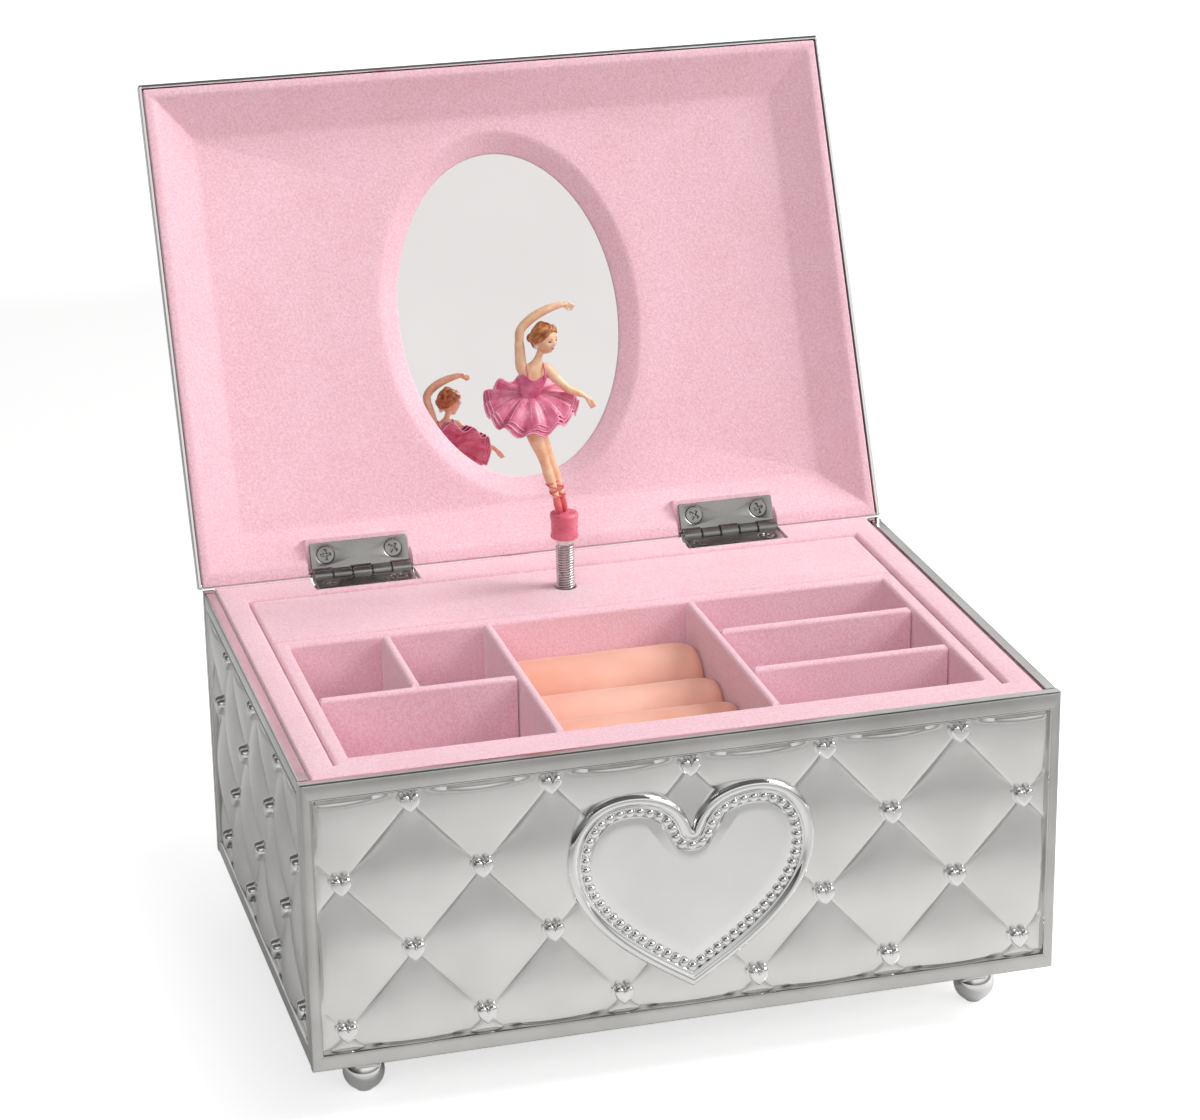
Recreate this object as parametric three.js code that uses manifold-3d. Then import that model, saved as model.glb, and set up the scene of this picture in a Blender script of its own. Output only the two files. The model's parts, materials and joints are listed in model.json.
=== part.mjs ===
// Ballerina jewellery box: quilted metal case and hipped lid, flocked linings with a divided
// tray, and a wind-up movement that turns a dancer on a spring neck. Millimetres, +Z up.
// The box stands on z = 0 with its lid open, the front facing -Y.
import * as THREE from 'three';
import { mergeVertices } from 'three/addons/utils/BufferGeometryUtils.js';
import Module from 'manifold-3d';

const wasm = await Module();
wasm.setup();

// ---- driving dimensions ----
const WIDTH = 170;
const DEPTH = 120;
const BODY_HEIGHT = 67.3;
const FOOT_HEIGHT = 12.6;
const FOOT_RADIUS = 5.1;
const FOOT_INSET = 13.6;
const GAP = 0.3;
const PANEL_THICK = 2.5;
const FIELD_RECESS = 1.2;
const BORDER_SIDE = 2.5;
const BORDER_TOP = 4.1;
const BORDER_BOTTOM = 3.9;
const STUD_PITCH = 30.8;
const ROW_PITCH = 17.4;
const STUD_RADIUS = 2;
const STUD_RISE = 1.6;
const PILLOW_RISE = 1.1;
const HEART_WIDTH = 56;
const HEART_HEIGHT = 47.7;
const HEART_TIP = 8.3;
const HEART_THICK = 2.6;
const BASE_THICK = 2.5;
const LINING_THICK = 6.4;
const LINING_FRONT = 6.6;
const GROOVE = 0.5;
const PLATFORM_THICK = 3;
const PLATFORM_FRONT = 23.3;
const SPINDLE_X = -1.5;
const SPINDLE_Y = 38;
const TRAY_FRONT = -50.1;
const TRAY_BACK = 22.8;
const TRAY_WALL = 3.6;
const TRAY_DEPTH = 34;
const TRAY_FLOOR = 2;
const DIVIDER = 2.2;
const LEFT_RAIL_X = -25.2;
const RIGHT_RAIL_X = 23.8;
const LEFT_CROSS_Y = -13.4;
const LEFT_SHORT_X = -49.3;
const RIGHT_CROSS_Y = [-0.4, -24.8];
const ROLL_DROP = 16.2;
const FIRST_ROLL_RADIUS = 9.4;
const ROLL_RADIUS = 7.3;
const ROLL_COUNT = 4;
const HINGE_X = 46.2;
const HINGE_Y = 60.3;
const LEAF_WIDTH = 24;
const LEAF_LENGTH = 8;
const LEAF_THICK = 1;
const KNUCKLE_RADIUS = 1.6;
const HINGE_MARGIN = 0.8;
const KNUCKLES = 5;
const PIN_RADIUS = 0.7;
const SCREW_PITCH = 16.5;
const SCREW_SETBACK = 5;
const SCREW_LENGTH = 5;
const LID_OPEN = 114.7;
const LID_WIDTH = 171.5;
const LID_LENGTH = 121.8;
const LID_BAND = 3;
const LID_HEIGHT = 14;
const LID_HIP = 10.5;
const LID_WALL = 0.8;
const LID_TOP_WALL = 1.3;
const REAR_COVER = 1.3;
const REAR_RIM = 0.8;
const REAR_LIP = 1.2;
const RIM_GAP = 0.15;
const BEVEL_START = 3;
const RECESS_INSET = 12.75;
const RECESS_DEPTH = 7;
const OVAL_CENTRE = 59.9;
const OVAL_RING = [32.2, 45];
const OVAL_OPENING = [27.7, 40.3];
const OVAL_DEPTH = 9.5;
const MIRROR_THICK = 1.2;
const NECK_RADIUS = 2.25;
const NECK_TOP = 11.7;
const NECK_START = -1.2;
const COIL_BORE = 1.5;
const CUP_RADIUS = 3.5;
const CUP_EDGE = 3.1;
const CUP_HEIGHT = 6.4;
const COLLAR_RADIUS = 2;
const COLLAR_HEIGHT = 1.4;
const WHEEL_TEETH = 24;
const PINION_TEETH = 6;
const GEAR_TEETH = 27;
const FAN_TEETH = 9;
const KEY_AXIS_Z = 16.3;
const KEY_BORE = 2.2;
const PINION_RADIUS = 2.5;
const WHEEL_RADIUS = PINION_RADIUS * WHEEL_TEETH / PINION_TEETH;
const GEAR_RADIUS = 9;
const FAN_RADIUS = GEAR_RADIUS * FAN_TEETH / GEAR_TEETH;

// ---- worked out from them ----
const TOP = BODY_HEIGHT;
const SOFT_TOP = TOP - 0.4;
const TRAY_TOP = TOP - 0.5;
const HINGE_Z = TOP + RIM_GAP;
const LINING_OUT_X = WIDTH / 2 - PANEL_THICK - GAP;
const LINING_OUT_Y = DEPTH / 2 - PANEL_THICK - GAP;
const CAVITY_X = LINING_OUT_X - LINING_THICK;
const CAVITY_FRONT = -LINING_OUT_Y + LINING_FRONT;
const CAVITY_BACK = LINING_OUT_Y - LINING_FRONT - GAP;
const FLOOR = BASE_THICK + GAP;
const COVER_X = LINING_OUT_X - GAP;
const TRAY_X = CAVITY_X - GROOVE;
const BEDPLATE_Y = 47.9;
const BEDPLATE_THICK = 1.8;
const FAN_X = GEAR_RADIUS + FAN_RADIUS + 0.15;
const HEART_PROUD = HEART_THICK - FIELD_RECESS;
const RAD = Math.PI / 180;
const LID_REACH = (LID_LENGTH - LID_HIP) * -Math.cos(LID_OPEN * RAD)
  + (LID_HEIGHT + RIM_GAP) * Math.sin(LID_OPEN * RAD);
const Y_CENTRE = (HINGE_Y + LID_REACH - DEPTH / 2 - HEART_PROUD) / 2;

// ---- materials ----
const finish = (color, roughness, metalness) =>
  new THREE.MeshStandardMaterial({ color, roughness, metalness });
const SILVER = finish(0xd6d5d2, 0.25, 1);
const POLISHED = finish(0xe4e4e2, 0.08, 1);
const FLOCK = finish(0xf0b4c4, 0.95, 0);
const FLOCK_DARK = finish(0xe08a9c, 0.95, 0);
const SATIN = finish(0xf8ceac, 0.55, 0);
const MIRROR = finish(0xe8e8ea, 0.02, 1);
const NICKEL = finish(0x7c7d7b, 0.3, 1);
const SPRING_STEEL = finish(0xa8a8a6, 0.3, 1);
const BRASS = finish(0xc9a85a, 0.35, 1);
const STEEL = finish(0x8f9092, 0.4, 1);
const SKIN = finish(0xf2c9a8, 0.55, 0);
const TUTU_PINK = finish(0xd8487a, 0.45, 0);
const CUP_PINK = finish(0xe86a80, 0.4, 0);

// ---- solids ----
function solid(geometry) {
  const bare = geometry.clone();
  bare.deleteAttribute('normal');
  bare.deleteAttribute('uv');
  const merged = mergeVertices(bare, 1e-4);
  return new wasm.Manifold(new wasm.Mesh({
    numProp: 3,
    vertProperties: new Float32Array(merged.attributes.position.array),
    triVerts: new Uint32Array(merged.index.array),
  }));
}

function toGeometry(shape) {
  const mesh = shape.getMesh();
  const geometry = new THREE.BufferGeometry();
  geometry.setAttribute('position', new THREE.BufferAttribute(mesh.vertProperties, 3));
  geometry.setIndex(new THREE.BufferAttribute(mesh.triVerts, 1));
  const flat = geometry.toNonIndexed();
  flat.computeVertexNormals();
  return flat;
}

const join = (shapes) => shapes.reduce((all, one) => all.add(one));
const cut = (shape, tools) => tools.reduce((left, tool) => left.subtract(tool), shape);

function block(x0, x1, y0, y1, z0, z1) {
  const geometry = new THREE.BoxGeometry(x1 - x0, y1 - y0, z1 - z0);
  geometry.translate((x0 + x1) / 2, (y0 + y1) / 2, (z0 + z1) / 2);
  return solid(geometry);
}

// A round bar between two points, or a cone frustum when the two radii differ.
function bar(from, to, radius, segments = 12, endRadius = radius) {
  const a = new THREE.Vector3(...from);
  const b = new THREE.Vector3(...to);
  const way = b.clone().sub(a);
  const geometry = new THREE.CylinderGeometry(endRadius, radius, way.length(), segments);
  geometry.applyQuaternion(new THREE.Quaternion().setFromUnitVectors(
    new THREE.Vector3(0, 1, 0),
    way.clone().normalize(),
  ));
  geometry.translate(...a.add(b).multiplyScalar(0.5).toArray());
  return solid(geometry);
}

// A limb with round ends.
function limb(from, to, radius) {
  const a = new THREE.Vector3(...from);
  const b = new THREE.Vector3(...to);
  const way = b.clone().sub(a);
  const geometry = new THREE.CapsuleGeometry(radius, way.length(), 1, 6);
  geometry.applyQuaternion(new THREE.Quaternion().setFromUnitVectors(
    new THREE.Vector3(0, 1, 0),
    way.clone().normalize(),
  ));
  geometry.translate(...a.add(b).multiplyScalar(0.5).toArray());
  return solid(geometry);
}

// A four-sided frustum between two rectangles [x0, x1, y0, y1].
function frustum(low, high, z0, z1) {
  const geometry = new THREE.BoxGeometry(1, 1, 1);
  const place = geometry.attributes.position;
  for (let i = 0; i < place.count; i += 1) {
    const rect = place.getZ(i) < 0 ? low : high;
    const x = place.getX(i) < 0 ? rect[0] : rect[1];
    const y = place.getY(i) < 0 ? rect[2] : rect[3];
    place.setXYZ(i, x, y, place.getZ(i) < 0 ? z0 : z1);
  }
  return solid(geometry);
}

// A turned profile of [radius, z] points about the z axis.
function turned(profile, segments) {
  const points = profile.map(([r, z]) => new THREE.Vector2(r, z));
  const geometry = new THREE.LatheGeometry(points, segments);
  geometry.rotateX(Math.PI / 2);
  return solid(geometry);
}

function extruded(shape, depth, curveSegments = 12) {
  return solid(new THREE.ExtrudeGeometry(shape, { depth, bevelEnabled: false, curveSegments }));
}

function ellipse(radii, z0, z1, topRadii = radii, segments = 28) {
  const geometry = new THREE.CylinderGeometry(1, 1, 1, segments);
  geometry.rotateX(Math.PI / 2);
  const place = geometry.attributes.position;
  for (let i = 0; i < place.count; i += 1) {
    const [a, b] = place.getZ(i) < 0 ? radii : topRadii;
    place.setXYZ(i, place.getX(i) * a, place.getY(i) * b, place.getZ(i) < 0 ? z0 : z1);
  }
  return solid(geometry);
}

// A spur gear outline with straight-flanked teeth, one of them centred on angle phase.
function gearShape(teeth, root, tip, rootHalf, tipHalf, phase) {
  const shape = new THREE.Shape();
  const corners = [[root, -rootHalf], [tip, -tipHalf], [tip, tipHalf], [root, rootHalf]];
  for (let i = 0; i < teeth; i += 1) {
    for (const [radius, half] of corners) {
      const angle = phase + (i * 2 * Math.PI) / teeth + half / radius;
      const point = [radius * Math.cos(angle), radius * Math.sin(angle)];
      if (i === 0 && half === -rootHalf) shape.moveTo(...point);
      else shape.lineTo(...point);
    }
  }
  return shape;
}

function heartShape(grow) {
  const w = HEART_WIDTH / 2 + grow;
  const h = HEART_HEIGHT + grow;
  const tip = -grow * 1.4;
  const lobe = w / 2;
  const notch = h * 0.8;
  const shape = new THREE.Shape();
  shape.moveTo(0, tip);
  shape.bezierCurveTo(w * 0.34, h * 0.13, w, h * 0.36, w, h * 0.68);
  shape.bezierCurveTo(w, h * 0.87, w * 0.8, h, lobe, h);
  shape.bezierCurveTo(w * 0.26, h, w * 0.05, h * 0.93, 0, notch);
  shape.bezierCurveTo(-w * 0.05, h * 0.93, -w * 0.26, h, -lobe, h);
  shape.bezierCurveTo(-w * 0.8, h, -w, h * 0.87, -w, h * 0.68);
  shape.bezierCurveTo(-w, h * 0.36, -w * 0.34, h * 0.13, 0, tip);
  return shape;
}

// ---- scene graph ----
const root = new THREE.Group();
const box = new THREE.Group();
box.position.set(0, -Y_CENTRE, FOOT_HEIGHT);
root.add(box);
const lid = new THREE.Group();
lid.position.set(0, HINGE_Y, HINGE_Z);
lid.rotation.x = -LID_OPEN * RAD;
box.add(lid);
const movement = new THREE.Group();
movement.position.set(SPINDLE_X, SPINDLE_Y, 0);
box.add(movement);
const figure = new THREE.Group();
figure.position.set(SPINDLE_X, SPINDLE_Y, TOP + NECK_TOP);
box.add(figure);

function put(parent, name, shape, material, position = [0, 0, 0], rotation = [0, 0, 0]) {
  const geometry = shape.isBufferGeometry ? shape : toGeometry(shape);
  const mesh = new THREE.Mesh(geometry, material);
  mesh.name = name;
  mesh.position.set(...position);
  mesh.rotation.set(...rotation);
  parent.add(mesh);
}

// ---- quilted panels: u across, v up, outward face towards +w ----
// Pillows and studs stand on a diagonal lattice; the crease plane is at w = 0.
function quilt(halfU, lowV, highV, originV, blocked = () => false) {
  const parts = [];
  const columns = Math.ceil(halfU / (STUD_PITCH / 2)) + 1;
  const firstRow = Math.ceil((lowV - originV) / ROW_PITCH) - 1;
  const lastRow = Math.floor((highV - originV) / ROW_PITCH) + 1;
  for (let row = firstRow; row <= lastRow; row += 1) {
    for (let column = -columns; column <= columns; column += 1) {
      const u = (column * STUD_PITCH) / 2;
      const v = originV + row * ROW_PITCH;
      const isStud = (row + column) % 2 === 0;
      const inside = Math.abs(u) < halfU - STUD_RADIUS && v > lowV + 3 && v < highV - 1.5;
      if (isStud && inside && !blocked(u, v)) {
        const stud = new THREE.ConeGeometry(STUD_RADIUS, STUD_RISE + 0.4, 4);
        stud.rotateX(Math.PI / 2);
        stud.translate(u, v, STUD_RISE / 2 - 0.2);
        parts.push(solid(stud));
      }
      if (!isStud) {
        const pillow = new THREE.ConeGeometry(1.04, PILLOW_RISE, 4);
        pillow.rotateX(Math.PI / 2);
        pillow.scale(STUD_PITCH / 2, ROW_PITCH, 1);
        pillow.translate(u, v, PILLOW_RISE / 2 - 0.01);
        parts.push(solid(pillow));
      }
    }
  }
  const field = block(-halfU, halfU, lowV, highV, -0.5, PANEL_THICK);
  return join(parts).intersect(field);
}

function quiltedPanel(width, blocked) {
  const halfU = width / 2 - BORDER_SIDE;
  const fieldTop = BODY_HEIGHT - BORDER_TOP;
  const crease = PANEL_THICK - FIELD_RECESS;
  const plate = block(-width / 2, width / 2, 0, BODY_HEIGHT, 0, PANEL_THICK);
  const recess = block(-halfU, halfU, BORDER_BOTTOM, fieldTop, crease, PANEL_THICK + 1);
  const relief = quilt(halfU, BORDER_BOTTOM, fieldTop, HEART_TIP - 0.1 + ROW_PITCH, blocked);
  return plate.subtract(recess).add(relief.translate(0, 0, crease));
}

const underHeart = (u, v) => Math.abs(u) < STUD_PITCH / 2 + 1 && v > 20 && v < 50;

function frontPanel() {
  const seat = extruded(heartShape(GAP + 0.1), 5, 6);
  const crease = PANEL_THICK - FIELD_RECESS;
  return quiltedPanel(WIDTH, underHeart).subtract(seat.translate(0, HEART_TIP, crease - GAP));
}

function backPanel() {
  const panel = quiltedPanel(WIDTH, (u, v) => Math.hypot(u + SPINDLE_X, v - KEY_AXIS_Z) < 8);
  const notches = [-HINGE_X, HINGE_X].map((x) => {
    const half = LEAF_WIDTH / 2 + HINGE_MARGIN;
    const leafSeat = block(x - half, x + half, HINGE_Z - LEAF_THICK - 0.6, TOP + 1, -1, 4);
    const barrelSeat = block(x - half, x + half, HINGE_Z - 2.1, TOP + 1, 0.7, 4);
    return leafSeat.add(barrelSeat);
  });
  const keyHole = bar([-SPINDLE_X, KEY_AXIS_Z, -1], [-SPINDLE_X, KEY_AXIS_Z, 6], KEY_BORE);
  const underCover = block(-COVER_X - GAP, COVER_X + GAP, SOFT_TOP - REAR_COVER - GAP, TOP + 1, -1, 4);
  return cut(panel, [...notches, keyHole, underCover]);
}

// A heart plate with a raised rim, standing in its seat on the front panel.
function heartMedallion() {
  const plate = extruded(heartShape(0), HEART_THICK - 0.8, 6);
  const rim = heartShape(0);
  rim.holes.push(new THREE.Path(heartShape(-2.2).getPoints(6)));
  return plate.add(extruded(rim, HEART_THICK, 6));
}

function casePanels() {
  const inner = DEPTH - 2 * PANEL_THICK - 2 * GAP;
  const upright = Math.PI / 2;
  const wallY = DEPTH / 2 - PANEL_THICK;
  const wallX = WIDTH / 2 - PANEL_THICK;
  put(box, 'front_panel', frontPanel(), SILVER, [0, -wallY, 0], [upright, 0, 0]);
  const back = new THREE.Group();
  back.rotation.z = Math.PI;
  box.add(back);
  put(back, 'back_panel', backPanel(), SILVER, [0, -wallY, 0], [upright, 0, 0]);
  for (const [name, turn] of [['right_panel', upright], ['left_panel', -upright]]) {
    const side = new THREE.Group();
    side.rotation.z = turn;
    box.add(side);
    put(side, name, quiltedPanel(inner), SILVER, [0, -wallX, 0], [upright, 0, 0]);
  }
  const seat = FIELD_RECESS - DEPTH / 2;
  put(box, 'heart_medallion', heartMedallion(), POLISHED, [0, seat, HEART_TIP], [upright, 0, 0]);
}

function baseAndFeet() {
  const plate = block(-LINING_OUT_X, LINING_OUT_X, -LINING_OUT_Y, LINING_OUT_Y, 0, BASE_THICK);
  put(box, 'base_plate', plate, SILVER);
  const profile = [[0, -FOOT_HEIGHT], [2, -FOOT_HEIGHT]];
  const ballHeight = FOOT_HEIGHT - 3.4;
  for (let i = 1; i < 5; i += 1) {
    const angle = -Math.PI / 2 + i * 0.62;
    const z = -FOOT_HEIGHT + (ballHeight / 2) * (1 + Math.sin(angle));
    profile.push([FOOT_RADIUS * Math.cos(angle), z]);
  }
  profile.push([2.4, -3.2], [3.4, -2], [3.4, -GAP], [0, -GAP]);
  const foot = toGeometry(turned(profile, 10));
  for (const [front, y] of [['front', -1], ['rear', 1]]) {
    for (const [side, x] of [['left', -1], ['right', 1]]) {
      const place = [x * (WIDTH / 2 - FOOT_INSET), y * (DEPTH / 2 - FOOT_INSET), 0];
      put(box, `foot_${front}_${side}`, foot, POLISHED, place);
    }
  }
}

// ---- flocked linings, tray and rolls ----
function caseLining() {
  const walls = block(-LINING_OUT_X, LINING_OUT_X, -LINING_OUT_Y, LINING_OUT_Y, FLOOR, SOFT_TOP);
  const coverLow = SOFT_TOP - REAR_COVER;
  const coverEnd = DEPTH / 2 + 0.1;
  const cover = block(-COVER_X, COVER_X, LINING_OUT_Y - 1, coverEnd, coverLow, SOFT_TOP);
  const lip = block(-COVER_X, COVER_X, coverEnd - REAR_LIP, coverEnd, coverLow, TOP);
  const outer = join([walls, cover, lip]);
  const cavity = block(-CAVITY_X, CAVITY_X, CAVITY_FRONT, CAVITY_BACK, 0, TOP + 1);
  const keyHole = bar([SPINDLE_X, 45, KEY_AXIS_Z], [SPINDLE_X, 62, KEY_AXIS_Z], KEY_BORE);
  const tools = [cavity, keyHole];
  for (const x of [-HINGE_X, HINGE_X]) {
    const half = LEAF_WIDTH / 2 + HINGE_MARGIN;
    const back = HINGE_Y - LEAF_LENGTH - GAP;
    tools.push(block(x - half, x + half, back, 61, HINGE_Z - LEAF_THICK - 0.6, TOP + 1));
    for (const dx of [-SCREW_PITCH / 2, SCREW_PITCH / 2]) {
      const y = HINGE_Y - SCREW_SETBACK;
      tools.push(bar([x + dx, y, TOP - SCREW_LENGTH - 1.5], [x + dx, y, TOP + 1], 1.3, 8));
    }
  }
  return cut(outer, tools);
}

// The cover over the movement: a flocked deck on two end legs, with the spindle's hole.
function movementPlatform() {
  const deckLow = TRAY_TOP - PLATFORM_THICK;
  const back = CAVITY_BACK - GAP;
  const deck = block(-TRAY_X, TRAY_X, PLATFORM_FRONT, back, deckLow, TRAY_TOP);
  const legs = [-1, 1].map((side) => {
    const x0 = side < 0 ? -TRAY_X : TRAY_X - PLATFORM_THICK;
    return block(x0, x0 + PLATFORM_THICK, PLATFORM_FRONT, back, FLOOR, deckLow + 1);
  });
  const bore = NECK_RADIUS + 0.35;
  const hole = bar([SPINDLE_X, SPINDLE_Y, deckLow - 1], [SPINDLE_X, SPINDLE_Y, TOP + 1], bore);
  return join([deck, ...legs]).subtract(hole);
}

const TRAY_IN_X = TRAY_X - TRAY_WALL;
const TRAY_IN_FRONT = TRAY_FRONT + TRAY_WALL;
const TRAY_IN_BACK = TRAY_BACK - TRAY_WALL + 0.5;
const TRAY_BED = TRAY_TOP - TRAY_DEPTH;

function trayShell() {
  const outer = block(-TRAY_X, TRAY_X, TRAY_FRONT, TRAY_BACK, FLOOR, TRAY_TOP);
  const pocket = block(-TRAY_IN_X, TRAY_IN_X, TRAY_IN_FRONT, TRAY_IN_BACK, TRAY_BED, TOP + 1);
  const under = TRAY_BED - TRAY_FLOOR;
  const hollow = block(-TRAY_IN_X, TRAY_IN_X, TRAY_IN_FRONT, TRAY_IN_BACK, 0, under);
  return cut(outer, [pocket, hollow]);
}

function divider(x0, x1, y0, y1) {
  return block(x0, x1, y0, y1, TRAY_BED + GAP, TRAY_TOP);
}

function tray() {
  const half = DIVIDER / 2;
  const front = TRAY_IN_FRONT + GAP;
  const back = TRAY_IN_BACK - GAP;
  const side = TRAY_IN_X - GAP;
  put(box, 'tray_shell', trayShell(), FLOCK_DARK);
  for (const [name, x] of [['left', LEFT_RAIL_X], ['right', RIGHT_RAIL_X]]) {
    put(box, `divider_${name}_rail`, divider(x - half, x + half, front, back), FLOCK);
  }
  const leftEnd = LEFT_RAIL_X - half - GAP;
  const cross = divider(-side, leftEnd, LEFT_CROSS_Y - half, LEFT_CROSS_Y + half);
  put(box, 'divider_left_cross', cross, FLOCK);
  const shortFront = LEFT_CROSS_Y + half + GAP;
  const short = divider(LEFT_SHORT_X - half, LEFT_SHORT_X + half, shortFront, back);
  put(box, 'divider_left_short', short, FLOCK);
  const rightStart = RIGHT_RAIL_X + half + GAP;
  ['back', 'front'].forEach((name, i) => {
    const y = RIGHT_CROSS_Y[i];
    const wall = divider(rightStart, side, y - half, y + half);
    put(box, `divider_right_${name}`, wall, FLOCK);
  });
}

function ringRolls() {
  const x0 = LEFT_RAIL_X + DIVIDER / 2 + GAP;
  const x1 = RIGHT_RAIL_X - DIVIDER / 2 - GAP;
  let y = TRAY_IN_BACK - GAP;
  for (let i = 0; i < ROLL_COUNT; i += 1) {
    const radius = i === 0 ? FIRST_ROLL_RADIUS : ROLL_RADIUS;
    const roll = toGeometry(bar([x0, 0, 0], [x1, 0, 0], radius, 14));
    put(box, `ring_roll_${i + 1}`, roll, SATIN, [0, y - radius, TRAY_TOP - ROLL_DROP]);
    y -= 2 * radius + GAP;
  }
}

// ---- lid, built closed about the hinge axis; the group opens it ----
function lidRect(inset) {
  const half = LID_WIDTH / 2 - inset;
  return [-half, half, -LID_LENGTH + inset, -inset];
}

function hipped(inset, low, band, high) {
  const foot = lidRect(inset);
  const lower = block(foot[0], foot[1], foot[2], foot[3], low, band + 0.01);
  return lower.add(frustum(foot, lidRect(inset + LID_HIP), band, high));
}

function hingeNotches() {
  return [-HINGE_X, HINGE_X].map((x) => {
    const half = LEAF_WIDTH / 2 + HINGE_MARGIN;
    return block(x - half, x + half, -2.1, 1, -1, 2.1);
  });
}

function lidShell() {
  const top = LID_HEIGHT + RIM_GAP;
  const skin = hipped(0, RIM_GAP, LID_BAND, top);
  const inside = hipped(LID_WALL, -1, LID_BAND, top - LID_TOP_WALL);
  const halfU = LID_WIDTH / 2 - LID_HIP - BORDER_TOP;
  const halfV = LID_LENGTH / 2 - LID_HIP - BORDER_TOP;
  const middle = -LID_LENGTH / 2;
  const crease = top - 0.7;
  const recess = block(-halfU, halfU, middle - halfV, middle + halfV, crease, top + 2);
  const relief = quilt(halfU, middle - halfV, middle + halfV, middle);
  const half = LID_WIDTH / 2 - LID_WALL;
  const rearRim = block(-half, half, -LID_WALL - 1, 1, -1, RIM_GAP + REAR_RIM + GAP);
  const plate = cut(skin, [inside, recess, rearRim]);
  return cut(plate.add(relief.translate(0, 0, crease)), hingeNotches());
}

function lidLining() {
  const top = LID_HEIGHT + RIM_GAP - LID_TOP_WALL - GAP;
  const inset = LID_WALL + GAP;
  const half = LID_WIDTH / 2 - inset;
  const rearRim = block(-half, half, -inset - 1, -RIM_GAP, RIM_GAP, RIM_GAP + REAR_RIM);
  const body = hipped(inset, RIM_GAP, LID_BAND, top).add(rearRim);
  const tools = [frustum(lidRect(BEVEL_START), lidRect(RECESS_INSET), 0, RECESS_DEPTH)];
  const oval = (radii, z0, z1, topRadii) =>
    ellipse(radii, z0, z1, topRadii).translate(0, -OVAL_CENTRE, 0);
  tools.push(oval(OVAL_RING, RECESS_DEPTH - 0.01, OVAL_DEPTH, OVAL_OPENING));
  const pocket = OVAL_OPENING.map((r) => r + 0.9);
  tools.push(oval(pocket, OVAL_DEPTH - 0.01, OVAL_DEPTH + MIRROR_THICK + 2 * GAP));
  const pads = [];
  const holes = [];
  const seat = LEAF_WIDTH / 2 + HINGE_MARGIN;
  for (const x of [-HINGE_X, HINGE_X]) {
    const pad = block(x - seat, x + seat, -LEAF_LENGTH - 1.4, -2, LEAF_THICK + 0.6, 8);
    pads.push(pad.intersect(body));
    holes.push(block(x - seat, x + seat, -LEAF_LENGTH - GAP, 1, -1, LEAF_THICK + 0.6));
    for (const dx of [-SCREW_PITCH / 2, SCREW_PITCH / 2]) {
      const at = x + dx;
      holes.push(bar([at, -SCREW_SETBACK, 0], [at, -SCREW_SETBACK, SCREW_LENGTH + 0.7], 1.3, 8));
    }
  }
  const lined = join([cut(body, tools), ...pads]);
  return cut(lined, [...holes, ...hingeNotches()]);
}

function lidParts() {
  put(lid, 'lid_shell', lidShell(), SILVER);
  put(lid, 'lid_lining', lidLining(), FLOCK);
  const glass = ellipse(OVAL_OPENING.map((r) => r + 0.5), 0, MIRROR_THICK);
  put(lid, 'oval_mirror', glass, MIRROR, [0, -OVAL_CENTRE, OVAL_DEPTH + GAP]);
}

// ---- hinges: side +1 is the lid's leaf, side -1 the case's leaf lying below the axis ----
function hingeLeaf(side) {
  const half = LEAF_WIDTH / 2;
  const pitch = LEAF_WIDTH / KNUCKLES;
  const low = side > 0 ? RIM_GAP : -RIM_GAP - LEAF_THICK;
  const parts = [block(-half, half, -LEAF_LENGTH, 0, low, low + LEAF_THICK)];
  const tools = [];
  for (let i = 0; i < KNUCKLES; i += 1) {
    const x0 = -half + i * pitch;
    const own = (i % 2 === 0) === (side < 0);
    if (own) parts.push(bar([x0 + 0.15, 0, 0], [x0 + pitch - 0.15, 0, 0], KNUCKLE_RADIUS, 8));
    else tools.push(block(x0 - 0.15, x0 + pitch + 0.15, -KNUCKLE_RADIUS - GAP, 2, -3, 3));
  }
  tools.push(bar([-half - 1, 0, 0], [half + 1, 0, 0], PIN_RADIUS + 0.32, 8));
  const face = side > 0 ? low : low + LEAF_THICK;
  for (const x of [-SCREW_PITCH / 2, SCREW_PITCH / 2]) {
    const outside = [x, -SCREW_SETBACK, face - side * 0.01];
    const inside = [x, -SCREW_SETBACK, face + side * (LEAF_THICK + 0.01)];
    tools.push(bar(outside, inside, 2.35, 8, 1.35));
  }
  return cut(join(parts), tools);
}

function hingeScrew() {
  const profile = [[0, 0], [2, 0], [1, 1], [0.9, 1.1], [0.9, SCREW_LENGTH - 1]];
  profile.push([0, SCREW_LENGTH]);
  const body = turned(profile, 8);
  const slots = [block(-1.2, 1.2, -0.2, 0.2, -1, 0.5), block(-0.2, 0.2, -1.2, 1.2, -1, 0.5)];
  return cut(body, slots);
}

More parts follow.
